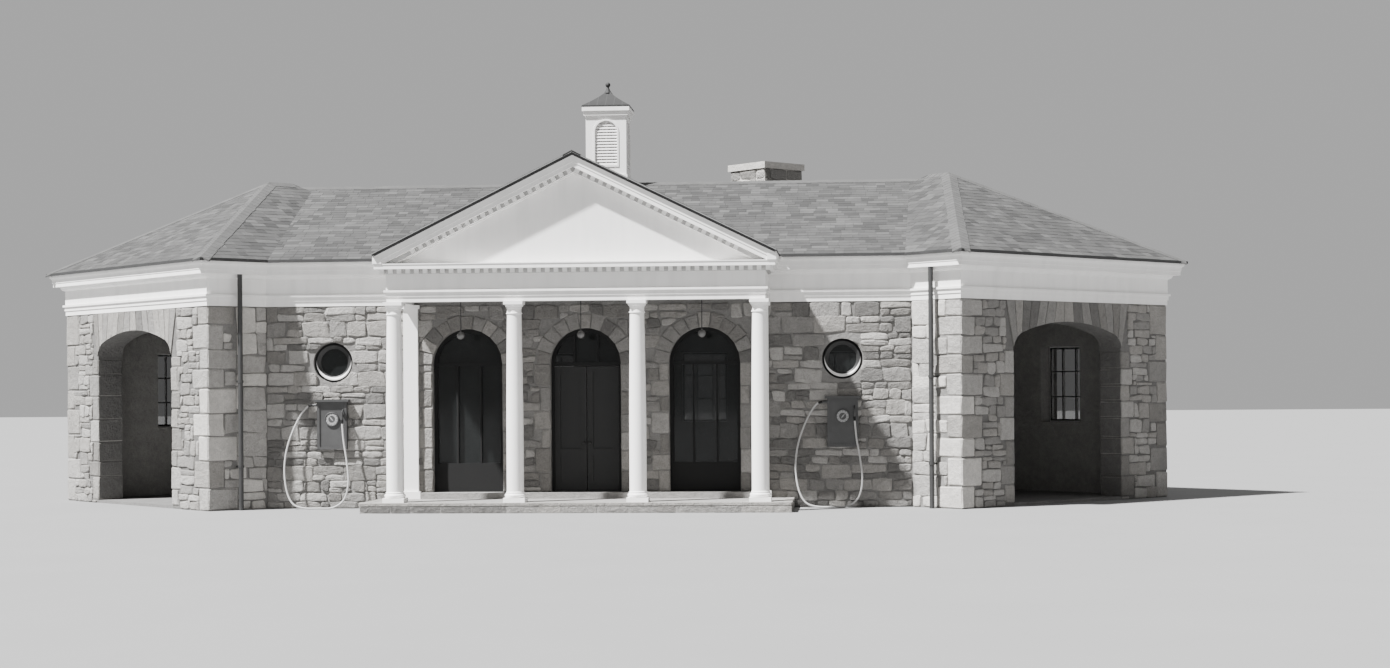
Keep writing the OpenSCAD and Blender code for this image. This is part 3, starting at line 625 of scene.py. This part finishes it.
def rubble(build, face, u0, u1, z0, z1, keep_out=(), rounds=(),
           relief=0.034, looks=(0, 5), size=1.0):
    """Roughly squared rubble: uneven courses of stones of different widths, some split."""
    bounds = (((u0, 0), (1, 0)), ((u1, 0), (-1, 0)), ((0, z0), (0, 1)), ((0, z1), (0, -1)))
    z = z0
    while z < z1 - 0.02:
        h = min(rnd.choice(ROW_HEIGHTS) * rnd.uniform(0.9, 1.12) * size, z1 - z)
        if z1 - z - h < 0.08:
            h = z1 - z
        u = u0 - rnd.uniform(0, 0.3)
        while u < u1:
            w = rnd.uniform(0.15, 0.5) * (1.15 if h > 0.2 else 1.0) * size
            for cell in split_cell(u, z, w, h, size):
                poly = rough_outline(*cell)
                for p, n in bounds:
                    poly = clip(poly, p, n)
                for shape in keep_out:
                    poly = shape(poly) if poly else poly
                poly = inset(poly, JOINT / 2)
                for ring in rounds:
                    poly = pushed_out(poly, *ring) if len(poly) > 2 else poly
                if len(poly) > 2 and max(p[0] for p in poly) - min(p[0] for p in poly) > 0.045:
                    put_stone(build, face, poly, rnd.randrange(*looks), relief)
            u += w
        z += h


def put_block(build, corner, a, b, c, look, chamfer=0.012, ragged=0.004, end_look=None):
    """A squared block with worn edges, from a corner and three edges; end_look is for two ends."""
    sides = (a, b, c)
    places = [(0, chamfer / v.length, 1 - chamfer / v.length, 1) for v in sides]
    verts, index, faces = [], {}, []
    for i, j, k in product(range(4), repeat=3):
        if sum(q in (0, 3) for q in (i, j, k)) != 1:
            continue
        worn = sum((v.normalized() * rnd.uniform(-1, 1) for v in sides), Vector())
        index[i, j, k] = len(verts)
        x, y, z = places[0][i], places[1][j], places[2][k]
        verts.append(corner + a * x + b * y + c * z + worn * ragged)

    def put(points, flip):
        f = [index[p] for p in points]
        faces.append(f[::-1] if flip else f)

    for s in (0, 3):
        put([(s, 1, 1), (s, 2, 1), (s, 2, 2), (s, 1, 2)], s == 0)
        put([(1, s, 1), (1, s, 2), (2, s, 2), (2, s, 1)], s == 0)
        put([(1, 1, s), (2, 1, s), (2, 2, s), (1, 2, s)], s == 0)
    beside = {0: 1, 3: 2}
    for s, t in product((0, 3), repeat=2):
        s1, t1, flip = beside[s], beside[t], s != t
        put([(s, t1, 1), (s, t1, 2), (s1, t, 2), (s1, t, 1)], flip)
        put([(s, 1, t1), (s1, 1, t), (s1, 2, t), (s, 2, t1)], flip)
        put([(1, s, t1), (2, s, t1), (2, s1, t), (1, s1, t)], flip)
    for s, t, r in product((0, 3), repeat=3):
        s1, t1, r1 = beside[s], beside[t], beside[r]
        put([(s, t1, r1), (s1, t, r1), (s1, t1, r)], (s, t, r).count(0) % 2)
    ends = look if end_look is None else end_look
    build.add(verts, faces, [ends, look, look] * 2 + [look] * (len(faces) - 6))


def courses(start, end, low, high, least):
    """Start and length of random steps from start to end, the last no shorter than least."""
    while start < end - 0.01:
        step = min(rnd.uniform(low, high), end - start)
        if end - start - step < least:
            step = end - start
        yield start, step
        start += step


# ---- hoses
# The route in millimetres, from the outlet to the nozzle, with X from the middle of the cabinet
HOSE_ROUTE = (
    (-330, -90, 1720), (-420, -100, 1690), (-530, -120, 1540), (-650, -160, 1280),
    (-740, -200, 980), (-770, -240, 640), (-720, -280, 300), (-610, -310, 92),
    (-430, -320, 24), (-180, -320, 19), (60, -310, 30), (240, -290, 160),
    (310, -270, 430), (280, -240, 780), (220, -210, 1140), (190, -190, 1480),
)
HOSE_STEPS, HOSE_R = 5, 0.015


def spline_points(points, steps):
    """A smooth line through the points, with this many steps from each to the next."""
    out, line = [], points[:1] + points + points[-1:]
    for a, b, c, d in zip(line, line[1:], line[2:], line[3:]):
        for k in range(steps):
            t = k / steps
            out.append(0.5 * (2 * b + t * (c - a) + t * t * (2 * a - 5 * b + 4 * c - d)
                              + t ** 3 * (3 * b - a - 3 * c + d)))
    return out + points[-1:]


def make_collar(name, pts, reach=0.07, wide=0.021, narrow=0.0158, ridge=0.0012, sides=20):
    """A tapered strain relief with ridges round the start of a hose."""
    line, gone = [pts[0]], 0.0
    for a, b in zip(pts, pts[1:]):
        step = (b - a).length
        if gone + step >= reach:
            line.append(a.lerp(b, (reach - gone) / step))
            break
        line.append(b)
        gone += step
    while len(line) < 8:
        line = [p for a, b in zip(line, line[1:]) for p in (a, (a + b) / 2)] + [line[-1]]
    verts = []
    last = len(line) - 1
    for i, p in enumerate(line):
        d = (line[min(i + 1, last)] - line[max(i - 1, 0)]).normalized()
        u = d.cross(Vector((0, 1, 0))).normalized()
        w = d.cross(u)
        r = wide + (narrow - wide) * i / last + (ridge if i % 2 and i < last else 0.0)
        verts += [p + u * x + w * y for x, y in circle(r, sides)]
    collar = Build(name, ["dark"], "hose_rubber")
    collar.add(verts, tube_faces(len(line), sides), 0, True)
    return collar.done()


def make_hose(side, name, node):
    middle = Vector((side * OCULUS_X, 0, 0))
    pts = spline_points([Vector(p) / 1000 + middle for p in HOSE_ROUTE], HOSE_STEPS)
    length = sum((b - a).length for a, b in zip(pts, pts[1:]))
    curve = bpy.data.curves.new(name, "CURVE")
    curve.dimensions = "3D"
    curve.bevel_depth, curve.bevel_resolution, curve.use_fill_caps = HOSE_R, 4, True
    sp = curve.splines.new("POLY")
    sp.points.add(len(pts) - 1)
    for p, q in zip(sp.points, pts):
        p.co = (*q, 1)
    curve.materials.append(M["hose"])
    obj = new_object(name, curve)
    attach(obj, "house")
    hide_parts(node)
    collars = [make_collar(name + "_outlet_collar", pts),
               make_collar(name + "_nozzle_collar", pts[::-1])]
    tuple(pts[0])


make_hose(-1, "left_pump_hose", "left_hose")
make_hose(1, "right_pump_hose", "right_hose")


# ---- pump dials
RING_R, MARK_R, RING_PARTS, MARKS, MARK_HALF = (0.058, 0.098), (0.078, 0.094), 48, 12, 0.035
HAND_TAIL, HAND_HALF, HAND_LENGTH, HAND_ANGLE = 0.05, 0.012, 0.075, 0.7
PLATE = [(3, 2, 1, 0), (0, 1, 5, 4), (2, 3, 7, 6), (1, 2, 6, 5), (3, 0, 4, 7)]


def make_dials():
    """Printed ring, graduation marks and pointer on each pump's dial."""
    b = Build("pump_dials", ["dial", "dark"], "cabinet_metal")

    def plate(side, corners, out, thick, look=0, faces=PLATE):
        """A thin plate in front of the dial, its corners given as radius and angle."""
        top = [(side * OCULUS_X + r * math.sin(a), DIAL_Y - out, DIAL_Z + r * math.cos(a))
               for r, a in corners]
        b.add(top + [(x, y + thick, z) for x, y, z in top], faces, look)

    def sector(radii, a0, a1):
        return [(radii[0], a0), (radii[1], a0), (radii[1], a1), (radii[0], a1)]

    for side in (-1, 1):
        for i in range(RING_PARTS):
            a0, a1 = i * math.tau / RING_PARTS, (i + 1) * math.tau / RING_PARTS
            plate(side, sector(RING_R, a0, a1), 0.002, 0.003)
        for i in range(MARKS):
            a = i * math.tau / MARKS
            plate(side, sector(MARK_R, a - MARK_HALF, a + MARK_HALF), 0.003, 0.002, 1, PLATE[:3])
        a = HAND_ANGLE * side
        hand = [(HAND_TAIL, a + math.pi), (HAND_HALF, a - math.pi / 2),
                (HAND_LENGTH, a), (HAND_HALF, a + math.pi / 2)]
        plate(side, hand, 0.006, 0.002)
    b.done()


make_dials()


# ---- stone walls
WALL_TOP = ENTAB_Z - 0.004
BLOCK_OUT = 0.016       # how far squared blocks stand out from the wall
OPENING_DEPTH = 0.14    # how far the blocks round windows and doors reach into it
BAY_SPREAD = 1.13       # width of the vehicle arch's fan at its top, against its foot
# Past the window's sides, height of the foot, thickness, how far out, depth
LINTEL = (0.2, WIN_Z1, 0.26, 0.018, 0.158)
SILL = (0.08, WIN_Z0 - 0.1, 0.1, 0.05, 0.18)


def wing_point(side, s, t):
    """Plan point of a wing, s along its front from the inner corner and t back from it."""
    p = CORNER + E1 * s + E2 * t
    return (side * p.x, p.y)


def stones(name, slot="rubble_stone"):
    return Build(name, STONE_LOOKS, slot)


def voussoirs(build, face, cu, cz, r0, r1, count=11):
    """The thin stones of a round arch."""
    for i in range(count):
        lo, hi = math.pi * i / count, math.pi * (i + 1) / count
        top = r1 * rnd.uniform(0.97, 1.03)
        corners = ((top, lo + GAP / r1), (top, hi - GAP / r1),
                   (r0, hi - GAP / r0), (r0, lo + GAP / r0))
        poly = [(cu + r * math.cos(a), cz + r * math.sin(a)) for r, a in corners]
        put_stone(build, face, poly, rnd.randrange(0, 4), 0.03, 0.004, 0.012)


def jamb_blocks(build, face, edge, sign, z0, z1, depth=OPENING_DEPTH, into=0.0,
                widths=(0.15, 0.26)):
    """Squared blocks up one side of an opening; sign is the side of it that the wall is on.

    Returns what keeps other stones clear of them.
    """
    shapes = []
    for i, (z, h) in enumerate(courses(z0, z1, 0.26, 0.42, 0.12), rnd.randrange(2)):
        w = widths[i % 2] * rnd.uniform(0.9, 1.1)
        start = edge - sign * into
        lo, hi = sorted((start, start + sign * (w + into)))
        # On deep jambs the side faces take the reveal stone, which is painted shade
        put_block(build, face.at(lo, z + GAP, BLOCK_OUT), face.u * (hi - lo),
                  -face.n * (depth + BLOCK_OUT), up(h - 2 * GAP), rnd.randrange(1, 5),
                  0.018, 0.007, SHADED_REVEAL if depth > OPENING_DEPTH else None)
        lo, hi = sorted((edge, edge + sign * w))
        shapes.append(outside_rect(lo - 0.002, z, hi + 0.002, z + h))
    return shapes


def main_front():
    b = stones("front_stones")
    face = Face((0, 0, 0), (1, 0))
    half, shapes, rounds = ARCH_W / 2, [], []
    for c in (-ARCH_STEP, 0, ARCH_STEP):
        for s in (-1, 1):
            shapes += jamb_blocks(b, face, c + s * half, s, FLOOR_Z, ARCH_SPRING,
                                  widths=(0.16, 0.27))
        voussoirs(b, face, c, ARCH_SPRING, half, half + 0.24)
        shapes.append(outside_rect(c - half, 0, c + half, ARCH_SPRING))
        rounds.append((c, ARCH_SPRING, half + 0.25, True))
    rounds += [(c, OCULUS_Z, OCULUS_R + 0.012, False) for c in (-OCULUS_X, OCULUS_X)]
    rubble(b, face, -JUNCTION_X, JUNCTION_X, 0.0, WALL_TOP, shapes, rounds)
    b.done()


def wing_faces(side):
    """The return, the front and the outer side of a wing."""
    plan = ((0, RETURN), (0, 0), (WING_FRONT, 0), (WING_FRONT, WING_DEPTH))
    points = [Vector((*wing_point(side, *q), 0)) for q in plan]
    faces = []
    for run in zip(points, points[1:]):
        a, c = run[::side]
        faces.append(Face(a, (c - a).xy))
    return faces


def bay_top(x):
    """Height of the vehicle arch over a point x from its middle."""
    run = BAY_HALF - BAY_HAUNCH
    r = (BAY_HALF ** 2 + BAY_RISE ** 2 - 2 * BAY_HALF * BAY_HAUNCH) / (2 * (BAY_RISE - BAY_HAUNCH))
    x = min(abs(x), BAY_HALF)
    # The crown circle meets the haunch circle on the line through both centres
    if x <= run * r / (r - BAY_HAUNCH):
        return BAY_CROWN - r + math.sqrt(r * r - x * x)
    return BAY_SPRING + math.sqrt(max(0.0, BAY_HAUNCH ** 2 - (x - run) ** 2))


def bay_stones(build, face, count=15, steps=6):
    """The fan of stones over a vehicle arch; returns what keeps other stones clear of it."""
    def across(v):
        # Closer together where the curve is steep
        return BAY_HALF * (0.35 * v + 0.65 * math.sin(math.pi / 2 * v))

    vs = [2 * i / count - 1 for i in range(count + 1)]
    for v0, v1 in zip(vs, vs[1:]):
        inner = [across(v0 + (v1 - v0) * k / steps) for k in range(steps + 1)]
        gap = min(0.005, (inner[-1] - inner[0]) / 5)
        low = [min(max(x, inner[0] + gap), inner[-1] - gap) for x in inner]
        poly = [(BAY_S + x, bay_top(x)) for x in low]
        high0, high1 = (BAY_S + BAY_HALF * BAY_SPREAD * v for v in (v0, v1))
        poly += [(high1 - GAP, WALL_TOP), (high0 + GAP, WALL_TOP)]
        n = len(poly)
        front = [face.at(*p, 0.018 + rnd.uniform(0, 0.008)) for p in poly]
        back = [face.at(u, z - (GAP if k <= steps else 0), -WALL_T)
                for k, (u, z) in enumerate(poly)]
        look = rnd.randrange(0, 4)
        faces = [tuple(range(n)), tuple(range(2 * n - 1, n - 1, -1))] + prism_sides(n)
        # The faces under the arch take the reveal stone, which is painted shade
        build.add(front + back, faces, [look] * 2 + [SHADED_REVEAL] * steps + [look] * (n - steps))
    shapes = [outside_rect(BAY_S - BAY_HALF, -0.1, BAY_S + BAY_HALF, WALL_TOP + 0.1)]
    for half in (-BAY_HALF, BAY_HALF):
        lo, hi = sorted((BAY_S + half, BAY_S + half * BAY_SPREAD))
        shapes.append(outside_rect(lo, BAY_SPRING, hi, WALL_TOP + 0.1))
    return shapes


def quoins(build, corner, ua, ub, looks):
    """Blocks at an outside corner of faces that leave it along ua and ub.

    Returns, for each face, the blocks' lower and upper heights and their widths.
    """
    on_a, on_b = [], []
    for i, (z, h) in enumerate(courses(0, WALL_TOP, 0.3, 0.46, 0.15)):
        wa, wb = (0.5, 0.3) if i % 2 else (0.3, 0.5)
        wa, wb = wa * rnd.uniform(0.92, 1.08), wb * rnd.uniform(0.92, 1.08)
        start = corner - (ua + ub) * BLOCK_OUT + up(z + GAP)
        x, y, wx, wy = (ua, ub, wa, wb) if ua.cross(ub).z > 0 else (ub, ua, wb, wa)
        put_block(build, start, x * (wx + BLOCK_OUT), y * (wy + BLOCK_OUT), up(h - 2 * GAP),
                  rnd.choice(looks), 0.02, 0.009)
        on_a.append((z, z + h, wa))
        on_b.append((z, z + h, wb))
    return on_a, on_b


def clear_of(blocks, length, at_start):
    """Keeps other stones clear of the quoins at one end of a face of this length."""
    return [outside_rect(-0.1, z0, w, z1) if at_start
            else outside_rect(length - w, z0, length + 0.1, z1) for z0, z1, w in blocks]


def window_stones(b, face, mid):
    """Lintel, sill and side blocks of a window; returns what keeps other stones clear of it."""
    half, shapes = WIN_W / 2, []
    for s in (-1, 1):
        shapes += jamb_blocks(b, face, mid + s * half, s, WIN_Z0, WIN_Z1)
    for over, z, h, out, depth in (LINTEL, SILL):
        put_block(b, face.at(mid - half - over, z, out), face.u * (WIN_W + 2 * over),
                  -face.n * depth, up(h), CUT)
    for over, z0, z1 in ((0.205, WIN_Z1, WIN_Z1 + 0.265), (0.085, WIN_Z0 - 0.105, WIN_Z0),
                         (0, WIN_Z0, WIN_Z1)):
        shapes.append(outside_rect(mid - half - over, z0, mid + half + over, z1))
    return shapes


def wing(side, word):
    b = stones(word + "_wing_stones")
    ret, front, outer = wing_faces(side)
    inner_corner = Vector((side * CORNER.x, CORNER.y, 0))
    e1, e2 = Vector((side * E1.x, E1.y, 0)), Vector((side * E2.x, E2.y, 0))
    front_inner, on_return = quoins(b, inner_corner, e1, e2, (3, 3, 4, 4, CUT))
    front_outer, on_side = quoins(b, inner_corner + e1 * WING_FRONT, -e1, e2, (1, 2, 3, 3, 4))
    shapes = clear_of(on_return, RETURN, side < 0)
    rubble(b, ret, 0.02, RETURN, 0, WALL_TOP, shapes, looks=(4, 6), size=1.5)
    shapes = clear_of(front_inner, WING_FRONT, side > 0)
    shapes += clear_of(front_outer, WING_FRONT, side < 0)
    for s in (-1, 1):
        shapes += jamb_blocks(b, front, BAY_S + s * BAY_HALF, s, 0.05, BAY_SPRING,
                              WALL_T + 0.004, 0.01, (0.22, 0.34))
    shapes += bay_stones(b, front)
    rubble(b, front, 0, WING_FRONT, 0, WALL_TOP, shapes, looks=(2, 5))
    shapes = clear_of(on_side, WING_DEPTH, side > 0)
    shapes += window_stones(b, outer, SIDE_WIN_T if side > 0 else WING_DEPTH - SIDE_WIN_T)
    rubble(b, outer, 0, WING_DEPTH, 0, WALL_TOP, shapes)
    b.done()


def rear():
    b = stones("rear_stones")
    face = Face((REAR_X, REAR_Y, 0), (-1, 0))
    shapes = []
    for x in REAR_WIN_X:
        shapes += window_stones(b, face, REAR_X - x)
    rubble(b, face, 0, 2 * REAR_X, 0, WALL_TOP, shapes)
    b.done()


def chimney_stones():
    b = stones("chimney_stones")
    for k in range(4):
        a = TURN + k * math.pi / 2
        u = Vector((math.cos(a), math.sin(a), 0))
        n = Vector((u.y, -u.x, 0))
        face = Face(Vector(CHIMNEY) + n * CHIMNEY_HALF - u * CHIMNEY_HALF, u.xy)
        rubble(b, face, 0.0, 2 * CHIMNEY_HALF, *CHIMNEY_Z, relief=0.018, looks=(1, 6))
    b.done()


def platform_stones():
    """A low course and a coping of long blocks round the three free sides of the platform."""
    b = stones("platform_stones", "platform_stone")
    w, d = PLATFORM_X, PLATFORM_D
    course_h, coping_z, coping_h, coping_w, coping_out = 0.108, 0.114, 0.049, 0.14, 0.009
    sides = (((-w, -d, 0), (1, 0), 2 * w), ((-w, 0, 0), (0, -1), d), ((w, -d, 0), (0, 1), d))
    for origin, along, length in sides:
        face = Face(origin, along)
        for u, step in courses(0.0, length, 0.25, 0.6, 0.15):
            poly = box_plan(u + GAP, 0.0, u + step - GAP, course_h)
            put_stone(b, face, poly, rnd.randrange(0, 4), 0.007, 0.004)
        for u, step in courses(0.0, length, 0.7, 1.2, 0.4):
            put_block(b, face.at(u + 0.002, coping_z, coping_out), face.u * (step - 0.004),
                      -face.n * coping_w, up(coping_h), 3, 0.005, 0.001)
    b.done()


main_front()
wing(-1, "left")
wing(1, "right")
rear()
chimney_stones()
platform_stones()


# ---- roofs
class Plane:
    """A roof slope that rises from the eave line through p along the inward direction n."""

    def __init__(self, p, n, pitch):
        self.p, self.n, self.pitch = p, n, pitch

    def z(self, x, y):
        return EAVE_Z + self.pitch * ((x - self.p[0]) * self.n[0] + (y - self.p[1]) * self.n[1])


def below(poly, a, b):
    """Part of a convex plan polygon where slope a is lower than slope b."""
    gx = b.pitch * b.n[0] - a.pitch * a.n[0]
    gy = b.pitch * b.n[1] - a.pitch * a.n[1]
    g = math.hypot(gx, gy)
    k = b.z(0, 0) - a.z(0, 0)
    if g < 1e-6:
        return poly if k >= 0 else []
    return clip(poly, (-k * gx / g / g, -k * gy / g / g), (gx / g, gy / g))


def wing_planes(side):
    """The front, outer, inner and back slopes of a wing."""
    def slope(s, t, n):
        return Plane(wing_point(side, s, t), (side * n.x, n.y), WING_PITCH)

    return [slope(0, -EAVE, E2), slope(WING_FRONT + EAVE, 0, -E1),
            slope(-EAVE, 0, E1), slope(0, WING_DEPTH + EAVE, -E2)]


EAVE_BACK_Y = REAR_Y + EAVE
WING_EAVES = (-EAVE, -EAVE, WING_FRONT + EAVE, WING_DEPTH + EAVE)
PORTICO_PITCH = (PORTICO_RIDGE_Z - EAVE_Z) / PORTICO_EAVE_X
LEFT, RIGHT = wing_planes(-1), wing_planes(1)
MAIN = [Plane((0, -EAVE), (0, 1), MAIN_PITCH), Plane((0, EAVE_BACK_Y), (0, -1), MAIN_PITCH)]
PORTICO = [Plane((-side * PORTICO_EAVE_X, 0), (side, 0), PORTICO_PITCH) for side in (1, -1)]
OWN = {"main": MAIN, "left_wing": LEFT, "right_wing": RIGHT, "portico": PORTICO}
FORMS = {"main": MAIN + LEFT[:2] + RIGHT[:2], "left_wing": LEFT + MAIN[1:],
         "right_wing": RIGHT + MAIN[1:], "portico": PORTICO}
COURSE = 0.135          # how much of each row of shingles shows
SHINGLE_LOOKS = ["shingle%d" % i for i in range(len(SHINGLE_TONES))]
SHINGLE_SHARES = (2, 4, 4, 2)


def cut_under(poly, plane, others, wins):
    """The convex pieces of a plan polygon where the plane is not under another roof form."""
    if plane in others and wins:
        return [poly]
    pieces, rest = [], poly
    for o in others:
        if o is plane:
            continue
        out = below(rest, o, plane)
        if len(out) > 2 and abs(area(out)) > 1e-5:
            pieces.append(out)
        rest = below(rest, plane, o)
        if len(rest) < 3:
            break
    return pieces


def roof_height(x, y):
    on_portico = PORTICO_FRONT_Y < y < RIDGE_Y
    return max(min(p.z(x, y) for p in planes)
               for planes in FORMS.values() if planes is not PORTICO or on_portico)


def visible_parts(quad, form, plane, limit):
    """The convex pieces of a shingle's plan inside the limit where no other slope lies over it."""
    for p, q in edges(limit):
        quad = clip(quad, p, (p[1] - q[1], q[0] - p[0]))
    for other in FORMS[form]:
        if other is not plane and len(quad) > 2:
            quad = below(quad, plane, other)
    parts = [quad] if len(quad) > 2 else []
    wins = plane in OWN[form]
    for planes in FORMS.values():
        if planes is FORMS[form]:
            continue
        pieces = []
        for part in parts:
            if planes is PORTICO:
                # The portico's roof covers only what lies between its front and the ridge
                for y, way in ((PORTICO_FRONT_Y, -1), (RIDGE_Y, 1)):
                    free = clip(part, (0, y), (0, way))
                    pieces += [free] if len(free) > 2 else []
                    part = clip(part, (0, y), (0, -way))
            pieces += cut_under(part, plane, planes, wins) if len(part) > 2 else []
        parts = pieces
    return parts


def lay_shingles(b, form, plane, limit):
    """Courses of shingles up one slope; limit is a convex plan polygon that holds the slope."""
    n = Vector(plane.n)
    t = Vector((n.y, -n.x))
    o = Vector(plane.p)
    step = COURSE * (1 / math.hypot(1, plane.pitch))
    ts = [(Vector(p) - o).dot(t) for p in limit]
    ds = [(Vector(p) - o).dot(n) for p in limit]
    gap, lap = 0.002, 0.004
    d = max(min(ds), 0.0)
    while d < max(ds):
        u = min(ts) - rnd.uniform(0, 0.2)
        while u < max(ts):
            w = rnd.uniform(0.13, 0.3)
            butt = rnd.uniform(-0.006, 0.006)
            ends = box_plan(u + gap, d + butt, u + w - gap, d + step + lap)
            quad = [tuple(o + t * i + n * j) for i, j in ends]
            if area(quad) < 0:
                quad.reverse()
            parts = visible_parts(quad, form, plane, limit)
            look = rnd.choices(range(len(SHINGLE_SHARES)), SHINGLE_SHARES)[0]
            thick = rnd.uniform(0.003, 0.007)
            for part in parts:
                if abs(area(part)) < 1e-4:
                    continue
                if area(part) < 0:
                    part = part[::-1]
                top, foot = [], []
                for x, y in part:
                    z = plane.z(x, y)
                    along = ((x - o.x) * n.x + (y - o.y) * n.y - d) / step
                    top.append((x, y, z + 0.001 + thick * max(0.0, 1 - 0.8 * along)))
                    foot.append((x, y, z - 0.002))
                m = len(part)
                b.add(top + foot, [tuple(range(m))] + prism_sides(m), look)
            u += w
        d += step


def wing_plan(side):
    pts = [wing_point(side, *q) for q in box_plan(*WING_EAVES)]
    return pts if area(pts) > 0 else pts[::-1]


def roofs():
    slopes = {
        "main": [(MAIN[0], box_plan(-7.5, -EAVE, 7.5, RIDGE_Y)),
                 (MAIN[1], box_plan(-8.5, RIDGE_Y, 8.5, EAVE_BACK_Y)),
                 (LEFT[1], box_plan(-11, 2.0, -5, EAVE_BACK_Y)),
                 (RIGHT[1], box_plan(5, 2.0, 11, EAVE_BACK_Y))],
        "left_wing": [(p, wing_plan(-1)) for p in LEFT],
        "right_wing": [(p, wing_plan(1)) for p in RIGHT],
        "portico": [(PORTICO[0], box_plan(-PORTICO_EAVE_X, PORTICO_FRONT_Y, 0, RIDGE_Y)),
                    (PORTICO[1], box_plan(0, PORTICO_FRONT_Y, PORTICO_EAVE_X, RIDGE_Y))],
    }
    for form, parts in slopes.items():
        b = Build(form + "_shingles", SHINGLE_LOOKS, "shingles")
        for plane, limit in parts:
            lay_shingles(b, form, plane, limit)
        b.done()


def caps(b, p0, p1, a, c, width=0.14, lifts=(0.014, 0.009)):
    """Cap shingles along a ridge or hip from its low end p0 up to p1, between slopes a and c."""
    p0, p1 = Vector(p0), Vector(p1)
    length = (p1 - p0).length
    d = (p1 - p0).normalized()
    side = Vector((d.y, -d.x))
    right, left = (a, c) if a.n[0] * side.x + a.n[1] * side.y < 0 else (c, a)

    def ridge_z(q):
        return min(a.z(*q), c.z(*q))

    k = 0.0
    while k < length:
        ends = p0 + d * k, p0 + d * min(length, k + COURSE + 0.05)
        mid = (ends[0] + ends[1]) / 2
        if abs(roof_height(*mid) - ridge_z(mid)) < 0.012:
            w = width * rnd.uniform(0.93, 1.05)
            rows = []
            for q, lift in zip(ends, lifts):
                l, r = q - side * w, q + side * w
                rows.append([(*l, left.z(*l) + lift), (*q, ridge_z(q) + lift + 0.004),
                             (*r, right.z(*r) + lift)])
            pts = rows[0] + rows[1][::-1]
            low = [(x, y, z - 0.03) for x, y, z in pts]
            b.add(pts + low, [(0, 1, 4, 5), (1, 2, 3, 4)] + prism_sides(6),
                  0 if rnd.random() < 0.75 else 1)
        k += COURSE


def back_hip(outer):
    """Low and high end of the hip between the main roof's back slope and a wing's outer slope."""
    def crossing(y):
        # The x where both slopes have the same height at this y
        return (MAIN[1].z(0, y) - outer.z(0, y)) / (outer.pitch * outer.n[0]), y

    return crossing(EAVE_BACK_Y), crossing(RIDGE_Y)


def hips():
    b = Build("ridge_caps", ["cap", "shingle3"], "shingles")
    s0, t0, s1, t1 = WING_EAVES
    for side, (front, outer, inner, back) in ((-1, LEFT), (1, RIGHT)):
        top_f, top_b = wing_point(side, BAY_S, BAY_S), wing_point(side, BAY_S, WING_DEPTH - BAY_S)
        caps(b, wing_point(side, s0, t0), top_f, front, inner)
        caps(b, wing_point(side, s1, t0), top_f, front, outer)
        caps(b, top_f, top_b, outer, inner)
        caps(b, wing_point(side, s1, t1), top_b, back, outer)
        caps(b, *back_hip(outer), MAIN[1], outer)
    caps(b, (-6.6, RIDGE_Y), (6.6, RIDGE_Y), *MAIN)
    caps(b, (0, PORTICO_FRONT_Y), (0, RIDGE_Y - 0.3), *PORTICO)
    b.done()


def rake_edges(back_y=-1.521, under=0.003, thick=0.014):
    """Metal strips that carry the shingles past the gable's cornice."""
    b = Build("rake_edges", ["rake_metal"], "gutter_metal")
    section = ((PORTICO_FRONT_Y, 0), (back_y, 0), (back_y, thick), (PORTICO_FRONT_Y, thick))
    faces = [(0, 1, 5, 4), (1, 2, 6, 5), (2, 3, 7, 6), (3, 0, 4, 7), (3, 2, 1, 0), (4, 5, 6, 7)]
    for side in (-1, 1):
        ends = ((side * PORTICO_EAVE_X, EAVE_Z), (0, PORTICO_RIDGE_Z))
        verts = [(x, y, z - under - dz) for x, z in ends for y, dz in section]
        b.add(verts, [f[::-side] for f in faces])
    b.done()


def finial_base(sides=24):
    """Sheet metal cone that runs up the rod to the ball of the finial."""
    b = Build("finial_base", ["roof_metal"], "cupola_metal")
    profile = [(0.088, 7.315), (0.060, 7.352), (0.038, 7.390), (0.026, 7.420), (0.022, 7.446)]
    verts = [(x, RIDGE_Y + y, z) for r, z in profile for x, y in circle(r, sides)]
    b.add(verts, tube_faces(len(profile), sides), 0, True)
    b.done()


roofs()
hips()
rake_edges()
finial_base()


# ---- floor and light
def make_stage(reach=160.0, z=-0.001):
    me = bpy.data.meshes.new("floor")
    corners = box_plan(-reach, -reach, reach, reach)
    me.from_pydata([(*p, z) for p in corners], [], [(0, 1, 2, 3)])
    floor = new_object("floor", me)
    m = Nodes("floor_pale", grey(0.22), 0.95)
    m.color(m.mix(m.noise(0.6, 3), grey(0.21), grey(0.23)))
    me.materials.append(m.mat)


def make_light(sun=19.0, rotation=(34.8, 0, -56), spread=2, sky=0.93, strength=0.5):
    data = bpy.data.lights.new("key", "SUN")
    data.energy, data.angle = sun, math.radians(spread)
    new_object("key", data).rotation_euler = [math.radians(a) for a in rotation]
    world = bpy.data.worlds.new("studio")
    bpy.context.scene.world = world
    world.use_nodes = True
    inputs = world.node_tree.nodes["Background"].inputs
    inputs["Color"].default_value, inputs["Strength"].default_value = (sky, sky, sky, 1), strength


make_stage()
make_light()
